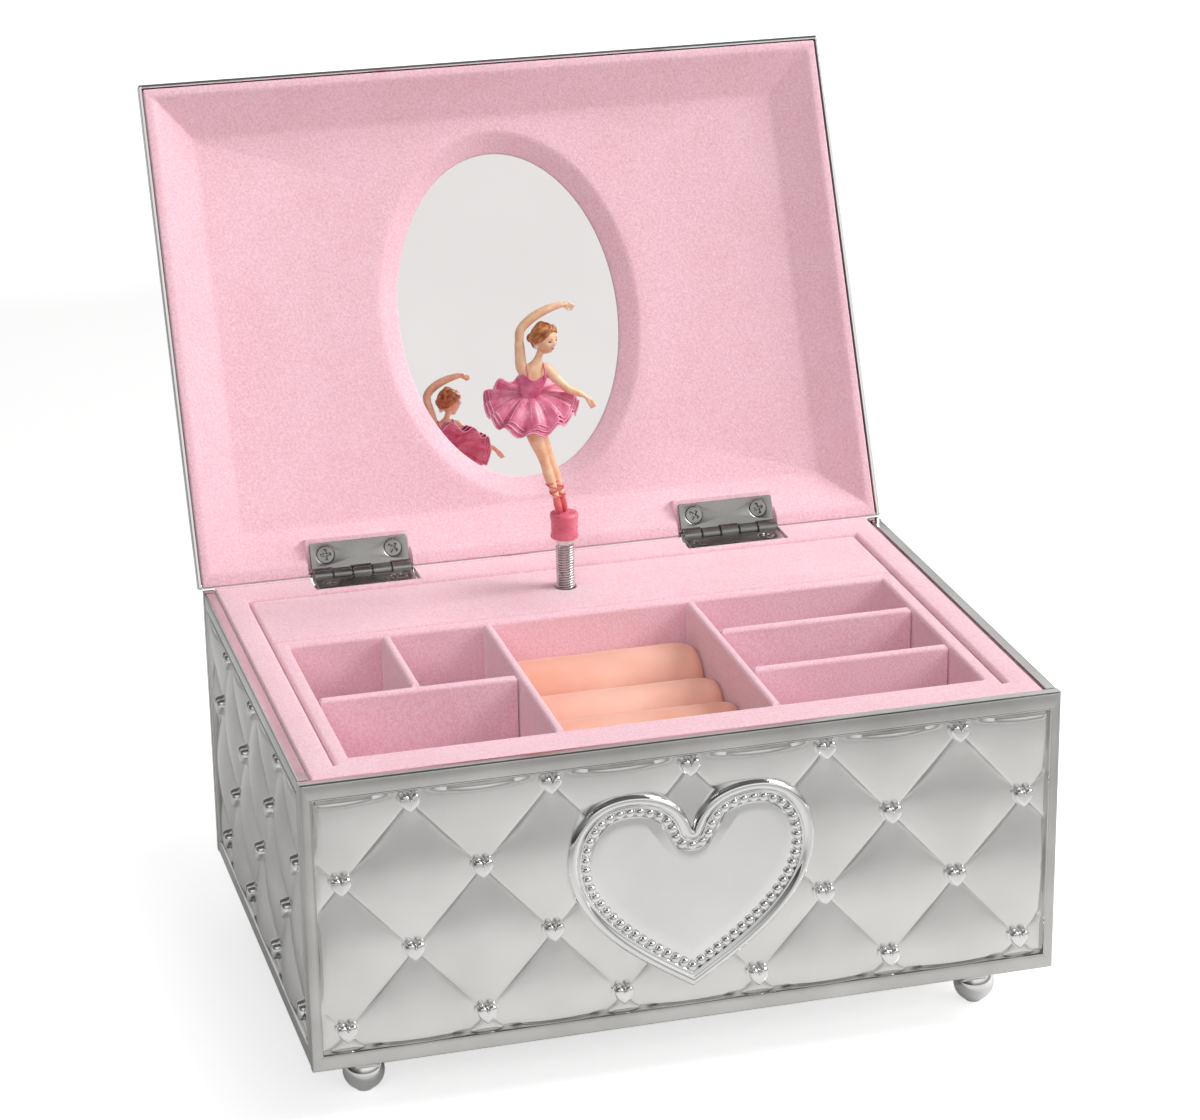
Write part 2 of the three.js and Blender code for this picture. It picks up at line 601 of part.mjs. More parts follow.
function hinges() {
  const half = LEAF_WIDTH / 2;
  const lidLeaf = toGeometry(hingeLeaf(1));
  const caseLeaf = toGeometry(hingeLeaf(-1));
  const screw = toGeometry(hingeScrew());
  const pin = bar([-half, 0, 0], [half, 0, 0], PIN_RADIUS, 8);
  const head = bar([half - 0.01, 0, 0], [half + 0.5, 0, 0], 1.1, 8);
  const pinShape = toGeometry(pin.add(head));
  for (const [name, x] of [['left', -HINGE_X], ['right', HINGE_X]]) {
    put(lid, `hinge_leaf_lid_${name}`, lidLeaf, NICKEL, [x, 0, 0]);
    put(box, `hinge_leaf_case_${name}`, caseLeaf, NICKEL, [x, HINGE_Y, HINGE_Z]);
    put(box, `hinge_pin_${name}`, pinShape, NICKEL, [x, HINGE_Y, HINGE_Z]);
    [-SCREW_PITCH / 2, SCREW_PITCH / 2].forEach((dx, i) => {
      const lidPlace = [x + dx, -SCREW_SETBACK, RIM_GAP];
      const casePlace = [x + dx, HINGE_Y - SCREW_SETBACK, HINGE_Z - RIM_GAP];
      put(lid, `hinge_screw_lid_${name}_${i + 1}`, screw, NICKEL, lidPlace);
      put(box, `hinge_screw_case_${name}_${i + 1}`, screw, NICKEL, casePlace, [Math.PI, 0, 0]);
    });
  }
}

// ---- movement: cylinder upright under the spindle, winding arbor running back to the key ----
const WHEEL_Y = -PINION_RADIUS;
const CYLINDER_LOW = 30;
const CYLINDER_HIGH = 52;
const GEAR_LOW = 53;
const ARM_LOW = 56;
const PLATE_Y = BEDPLATE_Y - SPINDLE_Y;

function bedplate() {
  const plate = block(-22, 22, PLATE_Y, PLATE_Y + BEDPLATE_THICK, FLOOR, ARM_LOW + 2.5);
  const foot = block(-22, 22, -14, PLATE_Y + 1, FLOOR, FLOOR + 1.8);
  const topArm = block(-4, FAN_X + 3, -3.5, PLATE_Y + 1, ARM_LOW, ARM_LOW + 2.5);
  const lowArm = block(-4, 4, -1.6, PLATE_Y + 1, 20.4, 22.6);
  const fanArm = block(FAN_X - 3, FAN_X + 3, -2.5, PLATE_Y + 1, 28, 30);
  const tools = [
    bar([0, 0, ARM_LOW - 1], [0, 0, ARM_LOW + 4], 2.4),
    bar([0, 0, 21.4], [0, 0, 24], 1.05, 8),
    bar([0, PLATE_Y - 1, KEY_AXIS_Z], [0, PLATE_Y + 4, KEY_AXIS_Z], 1.9),
    bar([FAN_X, 0, 29], [FAN_X, 0, 31], 0.9, 8),
    bar([FAN_X, 0, ARM_LOW - 1], [FAN_X, 0, ARM_LOW + 1.2], 0.9, 8),
  ];
  return cut(join([plate, foot, topArm, lowArm, fanArm]), tools);
}

function comb() {
  const blade = block(-23, -7.5, -0.4, 0.6, CYLINDER_LOW, CYLINDER_HIGH);
  const base = block(-22, -16, 0.5, PLATE_Y - GAP, CYLINDER_LOW + 1, CYLINDER_HIGH - 1);
  const pitch = (CYLINDER_HIGH - CYLINDER_LOW) / 18;
  const tools = [];
  for (let i = 1; i < 18; i += 1) {
    const z = CYLINDER_LOW + i * pitch;
    tools.push(block(-15.5 + i * 0.15, -6, -1, 1, z - 0.17, z + 0.17));
  }
  for (const z of [CYLINDER_LOW + 4, CYLINDER_HIGH - 4]) {
    tools.push(bar([-19, -2, z], [-19, PLATE_Y - 1.5, z], 1.35, 8));
  }
  return cut(blade.add(base), tools);
}

function cylinder() {
  const arbor = bar([0, 0, 21.7], [0, 0, GEAR_LOW + 2], 0.75, 8);
  const drum = bar([0, 0, CYLINDER_LOW], [0, 0, CYLINDER_HIGH], 6, 16);
  const hub = bar([0, 0, CYLINDER_HIGH - 1], [0, 0, GEAR_LOW + 1], 3);
  const pinionHalf = (Math.PI * PINION_RADIUS) / PINION_TEETH / 2;
  const pinion = gearShape(PINION_TEETH, 1.75, 3, pinionHalf * 0.8, 0.2, Math.PI / 2);
  const gearHalf = (Math.PI * GEAR_RADIUS) / GEAR_TEETH / 2;
  const gear = gearShape(GEAR_TEETH, GEAR_RADIUS - 0.65, GEAR_RADIUS + 0.4, gearHalf * 1.25, 0.14, 0);
  const low = KEY_AXIS_Z + WHEEL_RADIUS - 1.3;
  const parts = [
    arbor,
    drum,
    hub,
    extruded(pinion, 2.6).translate(0, 0, low),
    extruded(gear, 1.6).translate(0, 0, GEAR_LOW),
  ];
  const notePitch = (CYLINDER_HIGH - CYLINDER_LOW) / 18;
  for (let i = 0; i < 18; i += 1) {
    const pin = new THREE.BoxGeometry(1.2, 0.35, 0.35);
    pin.translate(6.1, 0, CYLINDER_LOW + notePitch * (i + 0.5));
    pin.rotateZ(i * 2.4);
    parts.push(solid(pin));
  }
  return join(parts);
}

// Crown wheel on the winding arbor: teeth stand towards +Y and mesh with the cylinder's pinion.
function greatWheel() {
  const disc = bar([0, WHEEL_Y - 3.6, 0], [0, WHEEL_Y - 0.7, 0], WHEEL_RADIUS + 0.9, 32);
  const half = (Math.PI * WHEEL_RADIUS) / WHEEL_TEETH / 2;
  const parts = [disc];
  for (let i = 0; i < WHEEL_TEETH; i += 1) {
    const tooth = frustum(
      [-half * 0.95, half * 0.95, WHEEL_RADIUS - 1, WHEEL_RADIUS + 0.8],
      [-0.18, 0.18, WHEEL_RADIUS - 1, WHEEL_RADIUS + 0.8],
      -0.8,
      0.45,
    );
    const turn = ((i + 0.5) * 360) / WHEEL_TEETH;
    parts.push(tooth.rotate([0, 0, turn]).rotate([-90, 0, 0]).translate(0, WHEEL_Y, 0));
  }
  const bore = bar([0, -20, 0], [0, 2, 0], 1.8);
  return join(parts).subtract(bore);
}

function springBarrel() {
  const radius = WHEEL_RADIUS + 0.9;
  const drum = bar([0, -13.6, 0], [0, -6.5, 0], radius, 28);
  const pocket = bar([0, -12.4, 0], [0, -6, 0], radius - 1.2, 28);
  return drum.subtract(pocket);
}

// The mainspring: a flat steel strip wound in a spiral.
function mainspring() {
  const turns = 4;
  const steps = turns * 12;
  const half = 0.2;
  const edge = (offset) => Array.from({ length: steps + 1 }, (_, i) => {
    const angle = (i / steps) * turns * 2 * Math.PI;
    const radius = 2.4 + (6.6 * i) / steps + offset;
    return [radius * Math.cos(angle), radius * Math.sin(angle)];
  });
  const outline = [...edge(-half), ...edge(half).reverse()].map((p) => new THREE.Vector2(...p));
  return extruded(new THREE.Shape(outline), 4.6).rotate([90, 0, 0]).translate(0, -7.2, 0);
}

function windingKey() {
  const wings = new THREE.Shape();
  wings.absellipse(0, 0, 10, 5.2, 0, 2 * Math.PI);
  for (const side of [-1, 1]) {
    const eye = new THREE.Path();
    eye.absellipse(side * 5.8, 0.6, 2.2, 2.4, 0, 2 * Math.PI);
    wings.holes.push(eye);
  }
  const hubStart = DEPTH / 2 + 0.8 - SPINDLE_Y;
  const plate = extruded(wings, 1.6, 10).translate(0, hubStart + 9, -0.8);
  const hub = bar([0, hubStart, 0], [0, hubStart + 5.5, 0], 2.9, 12);
  const socket = bar([0, hubStart - 1, 0], [0, hubStart + 4, 0], 1.8);
  return plate.add(hub).subtract(socket);
}

function governorFan() {
  const arbor = bar([0, 0, 29.4], [0, 0, ARM_LOW + 0.8], 0.6, 8);
  const half = (Math.PI * FAN_RADIUS) / FAN_TEETH / 2;
  const phase = Math.PI + Math.PI / FAN_TEETH;
  const gear = gearShape(FAN_TEETH, FAN_RADIUS - 0.7, FAN_RADIUS + 0.4, half * 1.1, 0.12, phase);
  const pinion = extruded(gear, 2.2).translate(0, 0, GEAR_LOW - 0.3);
  const blades = [block(-4.6, 4.6, -0.35, 0.35, 33, 50), block(-1.4, 1.4, -1.4, 1.4, 40, 43)];
  return join([arbor, pinion, ...blades]);
}

function movementParts() {
  put(movement, 'movement_bedplate', bedplate(), STEEL);
  put(movement, 'comb', comb(), STEEL);
  put(movement, 'cylinder', cylinder(), BRASS);
  put(movement, 'governor_fan', governorFan(), BRASS, [FAN_X, 0, 0]);
  const axis = new THREE.Group();
  axis.position.set(0, 0, KEY_AXIS_Z);
  movement.add(axis);
  put(axis, 'great_wheel', greatWheel(), BRASS);
  put(axis, 'spring_barrel', springBarrel(), STEEL);
  put(axis, 'mainspring', mainspring(), SPRING_STEEL);
  const stemEnd = DEPTH / 2 - SPINDLE_Y + 4.4;
  put(axis, 'winding_stem', bar([0, -11.6, 0], [0, stemEnd, 0], 1.5), STEEL);
  put(axis, 'winding_key', windingKey(), POLISHED);
  const screwShape = bar([0, 0, 0], [0, 5, 0], 1, 8).add(bar([0, -1.1, 0], [0, 0.01, 0], 1.9, 10));
  const combScrew = toGeometry(screwShape);
  [CYLINDER_LOW + 4, CYLINDER_HIGH - 4].forEach((z, i) => {
    put(movement, `comb_screw_${i + 1}`, combScrew, STEEL, [-19, -0.4 - GAP, z]);
  });
  const shaft = bar([0, 0, GEAR_LOW + 2 + GAP], [0, 0, TOP + 2.6], 1.1);
  put(movement, 'spindle_shaft', shaft, SPRING_STEEL);
  const bush = bar([0, 0, ARM_LOW - 0.4], [0, 0, ARM_LOW + 4], 2.05, 12);
  const bore = bar([0, 0, ARM_LOW - 2], [0, 0, ARM_LOW + 6], 1.45, 12);
  put(movement, 'spindle_bush', bush.subtract(bore), BRASS);
}

// ---- dancer, standing on the cup at the top of the spring neck ----
const HIP = [-7.4, 0, 24.5];
const WAIST = [-7.9, 0, 28.9];
const CHEST = [-7.2, 0, 34.4];
const HEAD = [-4.2, -0.3, 43];
const TUTU_CENTRE = [-7.7, 0, 28.8];
const TUTU_FLATTEN = 0.72;
const TUTU_TILT = 30;

function dancer(grow) {
  const parts = [
    limb([-1.4, -0.6, 1.9 + grow], [-4.2, 0, 12.4], 1.3 + grow),
    limb([-4.2, 0, 12.4], HIP, 1.9 + grow),
    limb([-0.4, 0.8, 2.3 + grow], [-3.2, 1, 12.6], 1.3 + grow),
    limb([-3.2, 1, 12.6], HIP, 1.8 + grow),
    limb(HIP, WAIST, 2.6 + grow),
    limb(WAIST, CHEST, 2.7 + grow),
    limb(CHEST, HEAD, 1.3 + grow),
    limb([-9.3, 0, 36.2], [-3.9, 0, 36.2], 1.5 + grow),
    limb([-9.6, 0, 36.6], [-9.8, 0.2, 46.6], 1.2 + grow),
    limb([-9.8, 0.2, 46.6], [1.4, -0.4, 51], 1 + grow),
    limb([-3.9, 0, 36.4], [1, -1, 32.2], 1.3 + grow),
    limb([1, -1, 32.2], [6.6, -1.6, 27.4], 0.9 + grow),
  ];
  const skull = new THREE.SphereGeometry(3.4 + grow, 9, 7);
  skull.scale(1, 1.05, 1.22);
  skull.rotateX(Math.PI / 2);
  skull.translate(...HEAD);
  return join([...parts, solid(skull)]);
}

function tutu() {
  const rim = [[3.3, -3], [7, -3.6], [10.8, -3.4], [10.9, -2.2], [6, 0.2], [3.3, 0.8]];
  const profile = [...rim, rim[0]];
  const points = profile.map(([r, z]) => new THREE.Vector2(r, z));
  const skirt = new THREE.LatheGeometry(points, 18);
  skirt.rotateX(Math.PI / 2);
  skirt.scale(1, TUTU_FLATTEN, 1);
  skirt.rotateX(TUTU_TILT * RAD);
  skirt.translate(...TUTU_CENTRE);
  return solid(skirt).subtract(dancer(0.3));
}

function figureParts() {
  const length = NECK_TOP - COLLAR_HEIGHT - NECK_START - GAP;
  const spring = turned(
    [[COIL_BORE, 0], [NECK_RADIUS, 0], [NECK_RADIUS, length], [COIL_BORE, length], [COIL_BORE, 0]],
    12,
  );
  put(figure, 'neck_spring', spring, SPRING_STEEL, [0, 0, NECK_START - NECK_TOP]);
  const cup = turned([[0, -COLLAR_HEIGHT], [COLLAR_RADIUS, -COLLAR_HEIGHT], [COLLAR_RADIUS, 0],
    [CUP_EDGE, 0], [CUP_RADIUS, 0.6], [CUP_RADIUS, CUP_HEIGHT - 0.5], [CUP_EDGE, CUP_HEIGHT],
    [0, CUP_HEIGHT]], 14);
  put(figure, 'figure_cup', cup, CUP_PINK);
  put(figure, 'ballerina_body', dancer(0), SKIN, [0, 0, CUP_HEIGHT]);
  put(figure, 'tutu_skirt', tutu(), TUTU_PINK, [0, 0, CUP_HEIGHT]);
}

casePanels();
baseAndFeet();
put(box, 'case_lining', caseLining(), FLOCK);
put(box, 'movement_platform', movementPlatform(), FLOCK);
tray();
ringRolls();
lidParts();
hinges();
movementParts();
figureParts();

export default root;
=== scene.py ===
"""Ballerina jewellery box: the visual model on the CAD frame, its materials, studio and camera.

Shapes are worked out in millimetres in three local frames and laid into the row frame:
BOX (the case, z = 0 at its underside), LID (closed about the hinge axis) and FIGURE (the
spindle axis, z = 0 on top of the cup).
"""

import json
import math

import bmesh
import bpy
import numpy as np
from mathutils import Matrix, Vector, noise


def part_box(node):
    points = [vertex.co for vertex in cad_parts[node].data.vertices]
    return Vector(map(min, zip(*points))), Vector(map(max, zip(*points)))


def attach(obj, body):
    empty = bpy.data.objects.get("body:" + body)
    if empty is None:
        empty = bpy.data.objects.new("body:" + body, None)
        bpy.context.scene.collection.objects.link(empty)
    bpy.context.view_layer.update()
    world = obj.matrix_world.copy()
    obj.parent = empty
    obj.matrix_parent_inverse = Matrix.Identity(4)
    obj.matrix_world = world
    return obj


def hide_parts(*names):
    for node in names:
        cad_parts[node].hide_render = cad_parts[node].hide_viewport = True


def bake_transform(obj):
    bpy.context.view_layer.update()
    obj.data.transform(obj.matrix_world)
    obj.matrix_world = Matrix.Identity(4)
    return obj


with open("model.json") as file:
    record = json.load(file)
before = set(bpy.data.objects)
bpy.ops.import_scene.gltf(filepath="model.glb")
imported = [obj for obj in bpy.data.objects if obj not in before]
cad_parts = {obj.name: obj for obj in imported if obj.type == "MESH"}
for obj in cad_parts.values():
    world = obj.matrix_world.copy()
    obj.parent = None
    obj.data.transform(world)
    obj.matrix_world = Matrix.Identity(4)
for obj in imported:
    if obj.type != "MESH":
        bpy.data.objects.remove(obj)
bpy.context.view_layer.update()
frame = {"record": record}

MM = 0.001

# ---------------------------------------------------------------- sizes taken from the frame


def box_mm(node):
    """Lowest and highest corner of a CAD node in the row frame, in millimetres."""
    low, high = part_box(node)
    return Vector(low) / MM, Vector(high) / MM


front_low, front_high = box_mm("front_panel")
back_high = box_mm("back_panel")[1]
lining_low, lining_high = box_mm("case_lining")
tray_low, tray_high = box_mm("tray_shell")
deck_low, deck_high = box_mm("movement_platform")
foot_low, foot_high = box_mm("foot_front_left")
cup_low, cup_high = box_mm("figure_cup")
neck_low, neck_high = box_mm("neck_spring")
stem_low, stem_high = box_mm("winding_stem")
joints = {j["name"]: j for j in frame["record"]["behaviour"]["joints"]}
LID_OPEN = joints["lid_hinge"]["range_deg"][1]
hinge_axis = Vector(joints["lid_hinge"]["pos_m"]) / MM

FOOT_HEIGHT = front_low.z
Y_BOX = (front_low.y + back_high.y) / 2
WIDTH = front_high.x - front_low.x
STUD_RISE = 1.6
FIELD_RECESS = 1.2
STUD_PROUD = STUD_RISE - FIELD_RECESS
DEPTH = back_high.y - front_low.y - 2 * STUD_PROUD
BODY_HEIGHT = front_high.z - front_low.z
SPINDLE_X = (cup_low.x + cup_high.x) / 2
SPINDLE_Y = (cup_low.y + cup_high.y) / 2 - Y_BOX
HINGE_Y = hinge_axis.y - Y_BOX
HINGE_Z = hinge_axis.z - FOOT_HEIGHT
KEY_AXIS_Z = (stem_low.z + stem_high.z) / 2
KEY_Z = KEY_AXIS_Z - FOOT_HEIGHT

BOX = Matrix.Translation((0, Y_BOX, FOOT_HEIGHT))
LID = Matrix.Translation(hinge_axis) @ Matrix.Rotation(-math.radians(LID_OPEN), 4, "X")
FIGURE = Matrix.Translation((SPINDLE_X, SPINDLE_Y + Y_BOX, cup_high.z))

# ---------------------------------------------------------------- driving sizes, millimetres

PANEL_THICK = 2.5
BORDER_SIDE = 2.5
BORDER_TOP = 4.1
BORDER_BOTTOM = 3.9
STUD_PITCH = 30.8
ROW_PITCH = 17.4
PILLOW_RISE = 1.5
STUD_SIZE = 4.6
SEAM_DEPTH = 0.12
HEART_WIDTH = 56.0
HEART_HEIGHT = 47.7
HEART_TIP = 8.3
BEAD_INSET = 4.1
BEAD_PITCH = 2.3
BEAD_SEAT = 1.42
LID_WIDTH = 171.5
LID_LENGTH = 121.8
LID_BAND = 3.0
LID_HEIGHT = 14.15
LID_HIP = 10.5
LID_WALL = 0.8
LID_TOP_WALL = 1.3
GAP = 0.3
REAR_COVER = 1.3
REAR_RIM = 0.8
REAR_LIP = 1.2
RIM_GAP = 0.15
BEVEL_START = 3.0
RECESS_INSET = 12.75
RECESS_DEPTH = 7.0
OVAL_CENTRE = 59.9
OVAL_RING = (32.2, 45.0)
OVAL_OPENING = (27.7, 40.3)
OVAL_DEPTH = 9.5
HINGE_X = 46.2
LEAF_WIDTH = 24.0
LEAF_LENGTH = 8.0
LEAF_THICK = 1.0
KNUCKLE_RADIUS = 1.6
KNUCKLES = 5
HINGE_MARGIN = 0.8
SEAT_HALF = LEAF_WIDTH / 2 + HINGE_MARGIN
SEAT_CLEAR = 0.6
KNUCKLE_ROOM = 2.1
PANEL_KEY_HOLE = 2.3
LINING_KEY_HOLE = 2.2
SCREW_PITCH = 16.5
SCREW_SETBACK = 5.0
TRAY_WALL = 3.6
TRAY_DEPTH = 34.0
FLOOR = lining_low.z - FOOT_HEIGHT
SOFT_TOP = lining_high.z - FOOT_HEIGHT
TRAY_TOP = tray_high.z - FOOT_HEIGHT
COVER_X = lining_high.x - GAP
NECK_RADIUS = 2.25
WIRE_RADIUS = 0.235
COIL_PITCH = 0.62
COLLAR_HEIGHT = 1.4

# ---------------------------------------------------------------- shapes


class Shape:
    """Points in millimetres and faces, gathered from several surfaces."""

    def __init__(self):
        self.points = []
        self.faces = []

    def add(self, points, faces, matrix=None):
        start = len(self.points)
        if matrix is not None:
            points = [matrix @ Vector(p) for p in points]
        self.points.extend(tuple(p) for p in points)
        self.faces.extend(tuple(i + start for i in face) for face in faces)
        return self

    def join(self, other, matrix=None):
        return self.add(other.points, other.faces, matrix)


def loft(rings, closed=False):
    """A surface through rings of equally many points, with its ends capped or joined up."""
    count = len(rings[0])
    shape = Shape()
    shape.points = [tuple(p) for ring in rings for p in ring]
    pairs = [(k, k + 1) for k in range(len(rings) - 1)]
    if closed:
        pairs.append((len(rings) - 1, 0))
    for low, high in pairs:
        for i in range(count):
            j = (i + 1) % count
            shape.faces.append((low * count + i, low * count + j, high * count + j, high * count + i))
    for at in () if closed else (0, len(rings) - 1):
        middle = len(shape.points)
        shape.points.append(tuple(np.mean(np.array(rings[at], float), axis=0)))
        for i in range(count):
            shape.faces.append((at * count + i, at * count + (i + 1) % count, middle))
    return shape


def rect_ring(rect, z, radius=0.01, arc=5, side=10):
    """A rectangle (x0, x1, y0, y1) at height z with rounded corners, counter-clockwise."""
    x0, x1, y0, y1 = rect
    centres = [
        (x1 - radius, y1 - radius, 0),
        (x0 + radius, y1 - radius, 90),
        (x0 + radius, y0 + radius, 180),
        (x1 - radius, y0 + radius, 270),
    ]
    corners = []
    for cx, cy, start in centres:
        corners.append([
            (cx + radius * math.cos(math.radians(start + 90 * i / arc)),
             cy + radius * math.sin(math.radians(start + 90 * i / arc)))
            for i in range(arc + 1)
        ])
    ring = []
    for k, corner in enumerate(corners):
        ring.extend(corner)
        ahead = corners[(k + 1) % 4][0]
        for s in range(1, side):
            t = s / side
            ring.append((corner[-1][0] + (ahead[0] - corner[-1][0]) * t,
                         corner[-1][1] + (ahead[1] - corner[-1][1]) * t))
    return [(x, y, z) for x, y in ring]


def shrink(rect, inset):
    return (rect[0] + inset, rect[1] - inset, rect[2] + inset, rect[3] - inset)


def circle_ring(radius, z, count=48, centre=(0, 0), stretch=1.0):
    return [
        (centre[0] + radius * math.cos(2 * math.pi * i / count),
         centre[1] + radius * stretch * math.sin(2 * math.pi * i / count), z)
        for i in range(count)
    ]


def lathe(profile, count=48):
    """A turned shape from [radius, z] points; a closed profile off the axis gives a ring."""
    rings = [circle_ring(max(r, 0.001), z, count) for r, z in profile]
    closed = profile[0] == profile[-1]
    return loft(rings[:-1] if closed else rings, closed=closed)


def rounding(radius, steps=4):
    """Inset and drop of the steps of a rounded edge, from its side to its top."""
    return [
        (radius * (1 - math.cos(math.radians(90 * i / steps))),
         radius * (math.sin(math.radians(90 * i / steps)) - 1))
        for i in range(steps + 1)
    ]


def soft_block(rect, z0, z1, edge=0.8, corner=0.6, side=10):
    """A block whose top edges and upright corners are rounded."""
    rings = [rect_ring(rect, z0, corner, side=side)]
    for inset, drop in rounding(edge):
        rings.append(rect_ring(shrink(rect, inset), z1 + drop, max(corner - inset, 0.05), side=side))
    return loft(rings)


ROD_END_ANGLES = (75, 50, 25)


def rod(points, radii, count=14, flat=1.0):
    """A limb, wire or strand with rounded ends, a radius at each point; flat squeezes its height."""
    line = [Vector(p) for p in points]
    last = len(line) - 1
    stations = []
    for k, point in enumerate(line):
        way = (line[min(k + 1, last)] - line[max(k - 1, 0)]).normalized()
        side = way.cross(Vector((0, 0, 1)))
        if side.length < 1e-4:
            side = way.cross(Vector((1, 0, 0)))
        side.normalize()
        stations.append((point, side, side.cross(way).normalized(), way, radii[k]))

    def section(station, angle=0.0):
        point, side, over, way, radius = station
        centre = point + way * (radius * math.sin(angle))
        reach = radius * math.cos(angle)
        return [
            centre + side * (reach * math.cos(2 * math.pi * i / count))
            + over * (reach * flat * math.sin(2 * math.pi * i / count))
            for i in range(count)
        ]

    sections = [section(stations[0], -math.radians(a)) for a in ROD_END_ANGLES]
    sections += [section(station) for station in stations]
    sections += [section(stations[-1], math.radians(a)) for a in reversed(ROD_END_ANGLES)]
    return loft(sections)


def spline(points, steps=6):
    """Points along a smooth curve through the given ones; each may carry extra values."""
    given = [np.array(p, float) for p in points]
    padded = [2 * given[0] - given[1], *given, 2 * given[-1] - given[-2]]
    found = []
    for k in range(1, len(padded) - 2):
        a, b, c, d = padded[k - 1:k + 3]
        for s in range(steps):
            t = s / steps
            found.append(0.5 * (2 * b + (c - a) * t + (2 * a - 5 * b + 4 * c - d) * t ** 2
                                + (3 * b - a - 3 * c + d) * t ** 3))
    found.append(given[-1])
    return found


def limb(stations, count=16, steps=6):
    """A smooth limb through [x, y, z, radius] stations."""
    path = spline(stations, steps)
    return rod([p[:3] for p in path], [max(p[3], 0.05) for p in path], count)


# ---------------------------------------------------------------- pieces


def add_object(name, data):
    obj = bpy.data.objects.new(name, data)
    bpy.context.scene.collection.objects.link(obj)
    return obj


def piece(name, shape, body, finish, nodes=(), matrix=BOX, sharp=40, ride=True):
    """One visible piece: its mesh in the row frame, its finish, body and CAD nodes."""
    points = np.array([matrix @ Vector(p) for p in shape.points]) * MM
    mesh = bpy.data.meshes.new(name)
    mesh.from_pydata([tuple(p) for p in points], [], shape.faces)
    work = bmesh.new()
    work.from_mesh(mesh)
    bmesh.ops.remove_doubles(work, verts=work.verts, dist=1e-6)
    bmesh.ops.recalc_face_normals(work, faces=work.faces)
    work.to_mesh(mesh)
    work.free()
    for polygon in mesh.polygons:
        polygon.use_smooth = True
    mesh.set_sharp_from_angle(angle=math.radians(sharp))
    mesh.materials.append(finish)
    obj = add_object(name, mesh)
    if ride:
        dress(obj, body, nodes)
    return obj


def dress(obj, body, nodes=()):
    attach(obj, body)
    if nodes:
        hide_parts(*nodes)


def freeze(obj):
    """Applies an object's modifiers to its mesh."""
    graph = bpy.context.evaluated_depsgraph_get()
    done = bpy.data.meshes.new_from_object(obj.evaluated_get(graph))
    obj.modifiers.clear()
    old = obj.data
    obj.data = done
    bpy.data.meshes.remove(old)
    return obj


def carve(obj, cutters, matrix=BOX):
    """Cuts shapes out of a piece."""
    for shape in cutters:
        tool = piece("cutter", shape, None, obj.data.materials[0], matrix=matrix, ride=False)
        cut = obj.modifiers.new("cut", "BOOLEAN")
        cut.operation = "DIFFERENCE"
        cut.solver = "EXACT"
        cut.object = tool
        freeze(obj)
        bpy.data.objects.remove(tool)
    obj.data.set_sharp_from_angle(angle=math.radians(40))
    return obj


def melt(obj, voxel, rounds):
    """Joins a piece's overlapping surfaces into one skin and softens it."""
    skin = obj.modifiers.new("skin", "REMESH")
    skin.mode = "VOXEL"
    skin.voxel_size = voxel * MM
    skin.use_smooth_shade = True
    soften = obj.modifiers.new("soften", "SMOOTH")
    soften.factor = 0.5
    soften.iterations = rounds
    return freeze(obj)


# ---------------------------------------------------------------- materials


def set_stops(ramp, stops):
    """Colour stops of a ramp node, from its first to its last."""
    bar = ramp.color_ramp
    for element, (at, colour) in zip(bar.elements, (stops[0], stops[-1])):
        element.position, element.color = at, (*colour, 1)
    for at, colour in stops[1:-1]:
        bar.elements.new(at).color = (*colour, 1)


class Finish:
    """A material's node tree, with short calls for what the finishes share."""

    def __init__(self, name):
        self.material = bpy.data.materials.new(name)
        self.material.use_nodes = True
        self.tree = self.material.node_tree
        self.shader = self.tree.nodes["Principled BSDF"]
        self.place = self.tree.nodes.new("ShaderNodeTexCoord").outputs["Object"]

    def node(self, kind, **values):
        made = self.tree.nodes.new(kind)
        for key, value in values.items():
            setattr(made, key, value)
        return made

    def link(self, source, target):
        self.tree.links.new(source, target)

    def set(self, **values):
        for key, value in values.items():
            self.shader.inputs[key.replace("_", " ")].default_value = value
        return self

    def stretched(self, scale):
        mapping = self.node("ShaderNodeMapping")
        mapping.inputs["Scale"].default_value = scale
        self.link(self.place, mapping.inputs["Vector"])
        return mapping.outputs["Vector"]

    def noise(self, size_mm, detail=3.0, place=None, distortion=0.0):
        """Noise whose blotches are about size_mm across."""
        made = self.node("ShaderNodeTexNoise")
        made.inputs["Scale"].default_value = 1000 / size_mm
        made.inputs["Detail"].default_value = detail
        made.inputs["Distortion"].default_value = distortion
        self.link(place or self.place, made.inputs["Vector"])
        return made.outputs["Fac"]

    def ramp(self, factor, *stops):
        made = self.node("ShaderNodeValToRGB")
        set_stops(made, stops)
        self.link(factor, made.inputs["Fac"])
        return made.outputs["Color"]

    def grey(self, factor, low, high, start=0.3, end=0.7):
        return self.ramp(factor, (start, (low,) * 3), (end, (high,) * 3))

    def colour(self, output):
        self.link(output, self.shader.inputs["Base Color"])
        return self

    def roughness(self, output):
        self.link(output, self.shader.inputs["Roughness"])
        return self

    def bump(self, height, distance_mm, strength=1.0):
        made = self.node("ShaderNodeBump")
        made.inputs["Strength"].default_value = strength
        made.inputs["Distance"].default_value = distance_mm * MM
        self.link(height, made.inputs["Height"])
        if self.shader.inputs["Normal"].is_linked:
            self.link(self.shader.inputs["Normal"].links[0].from_socket, made.inputs["Normal"])
        self.link(made.outputs["Normal"], self.shader.inputs["Normal"])
        return self


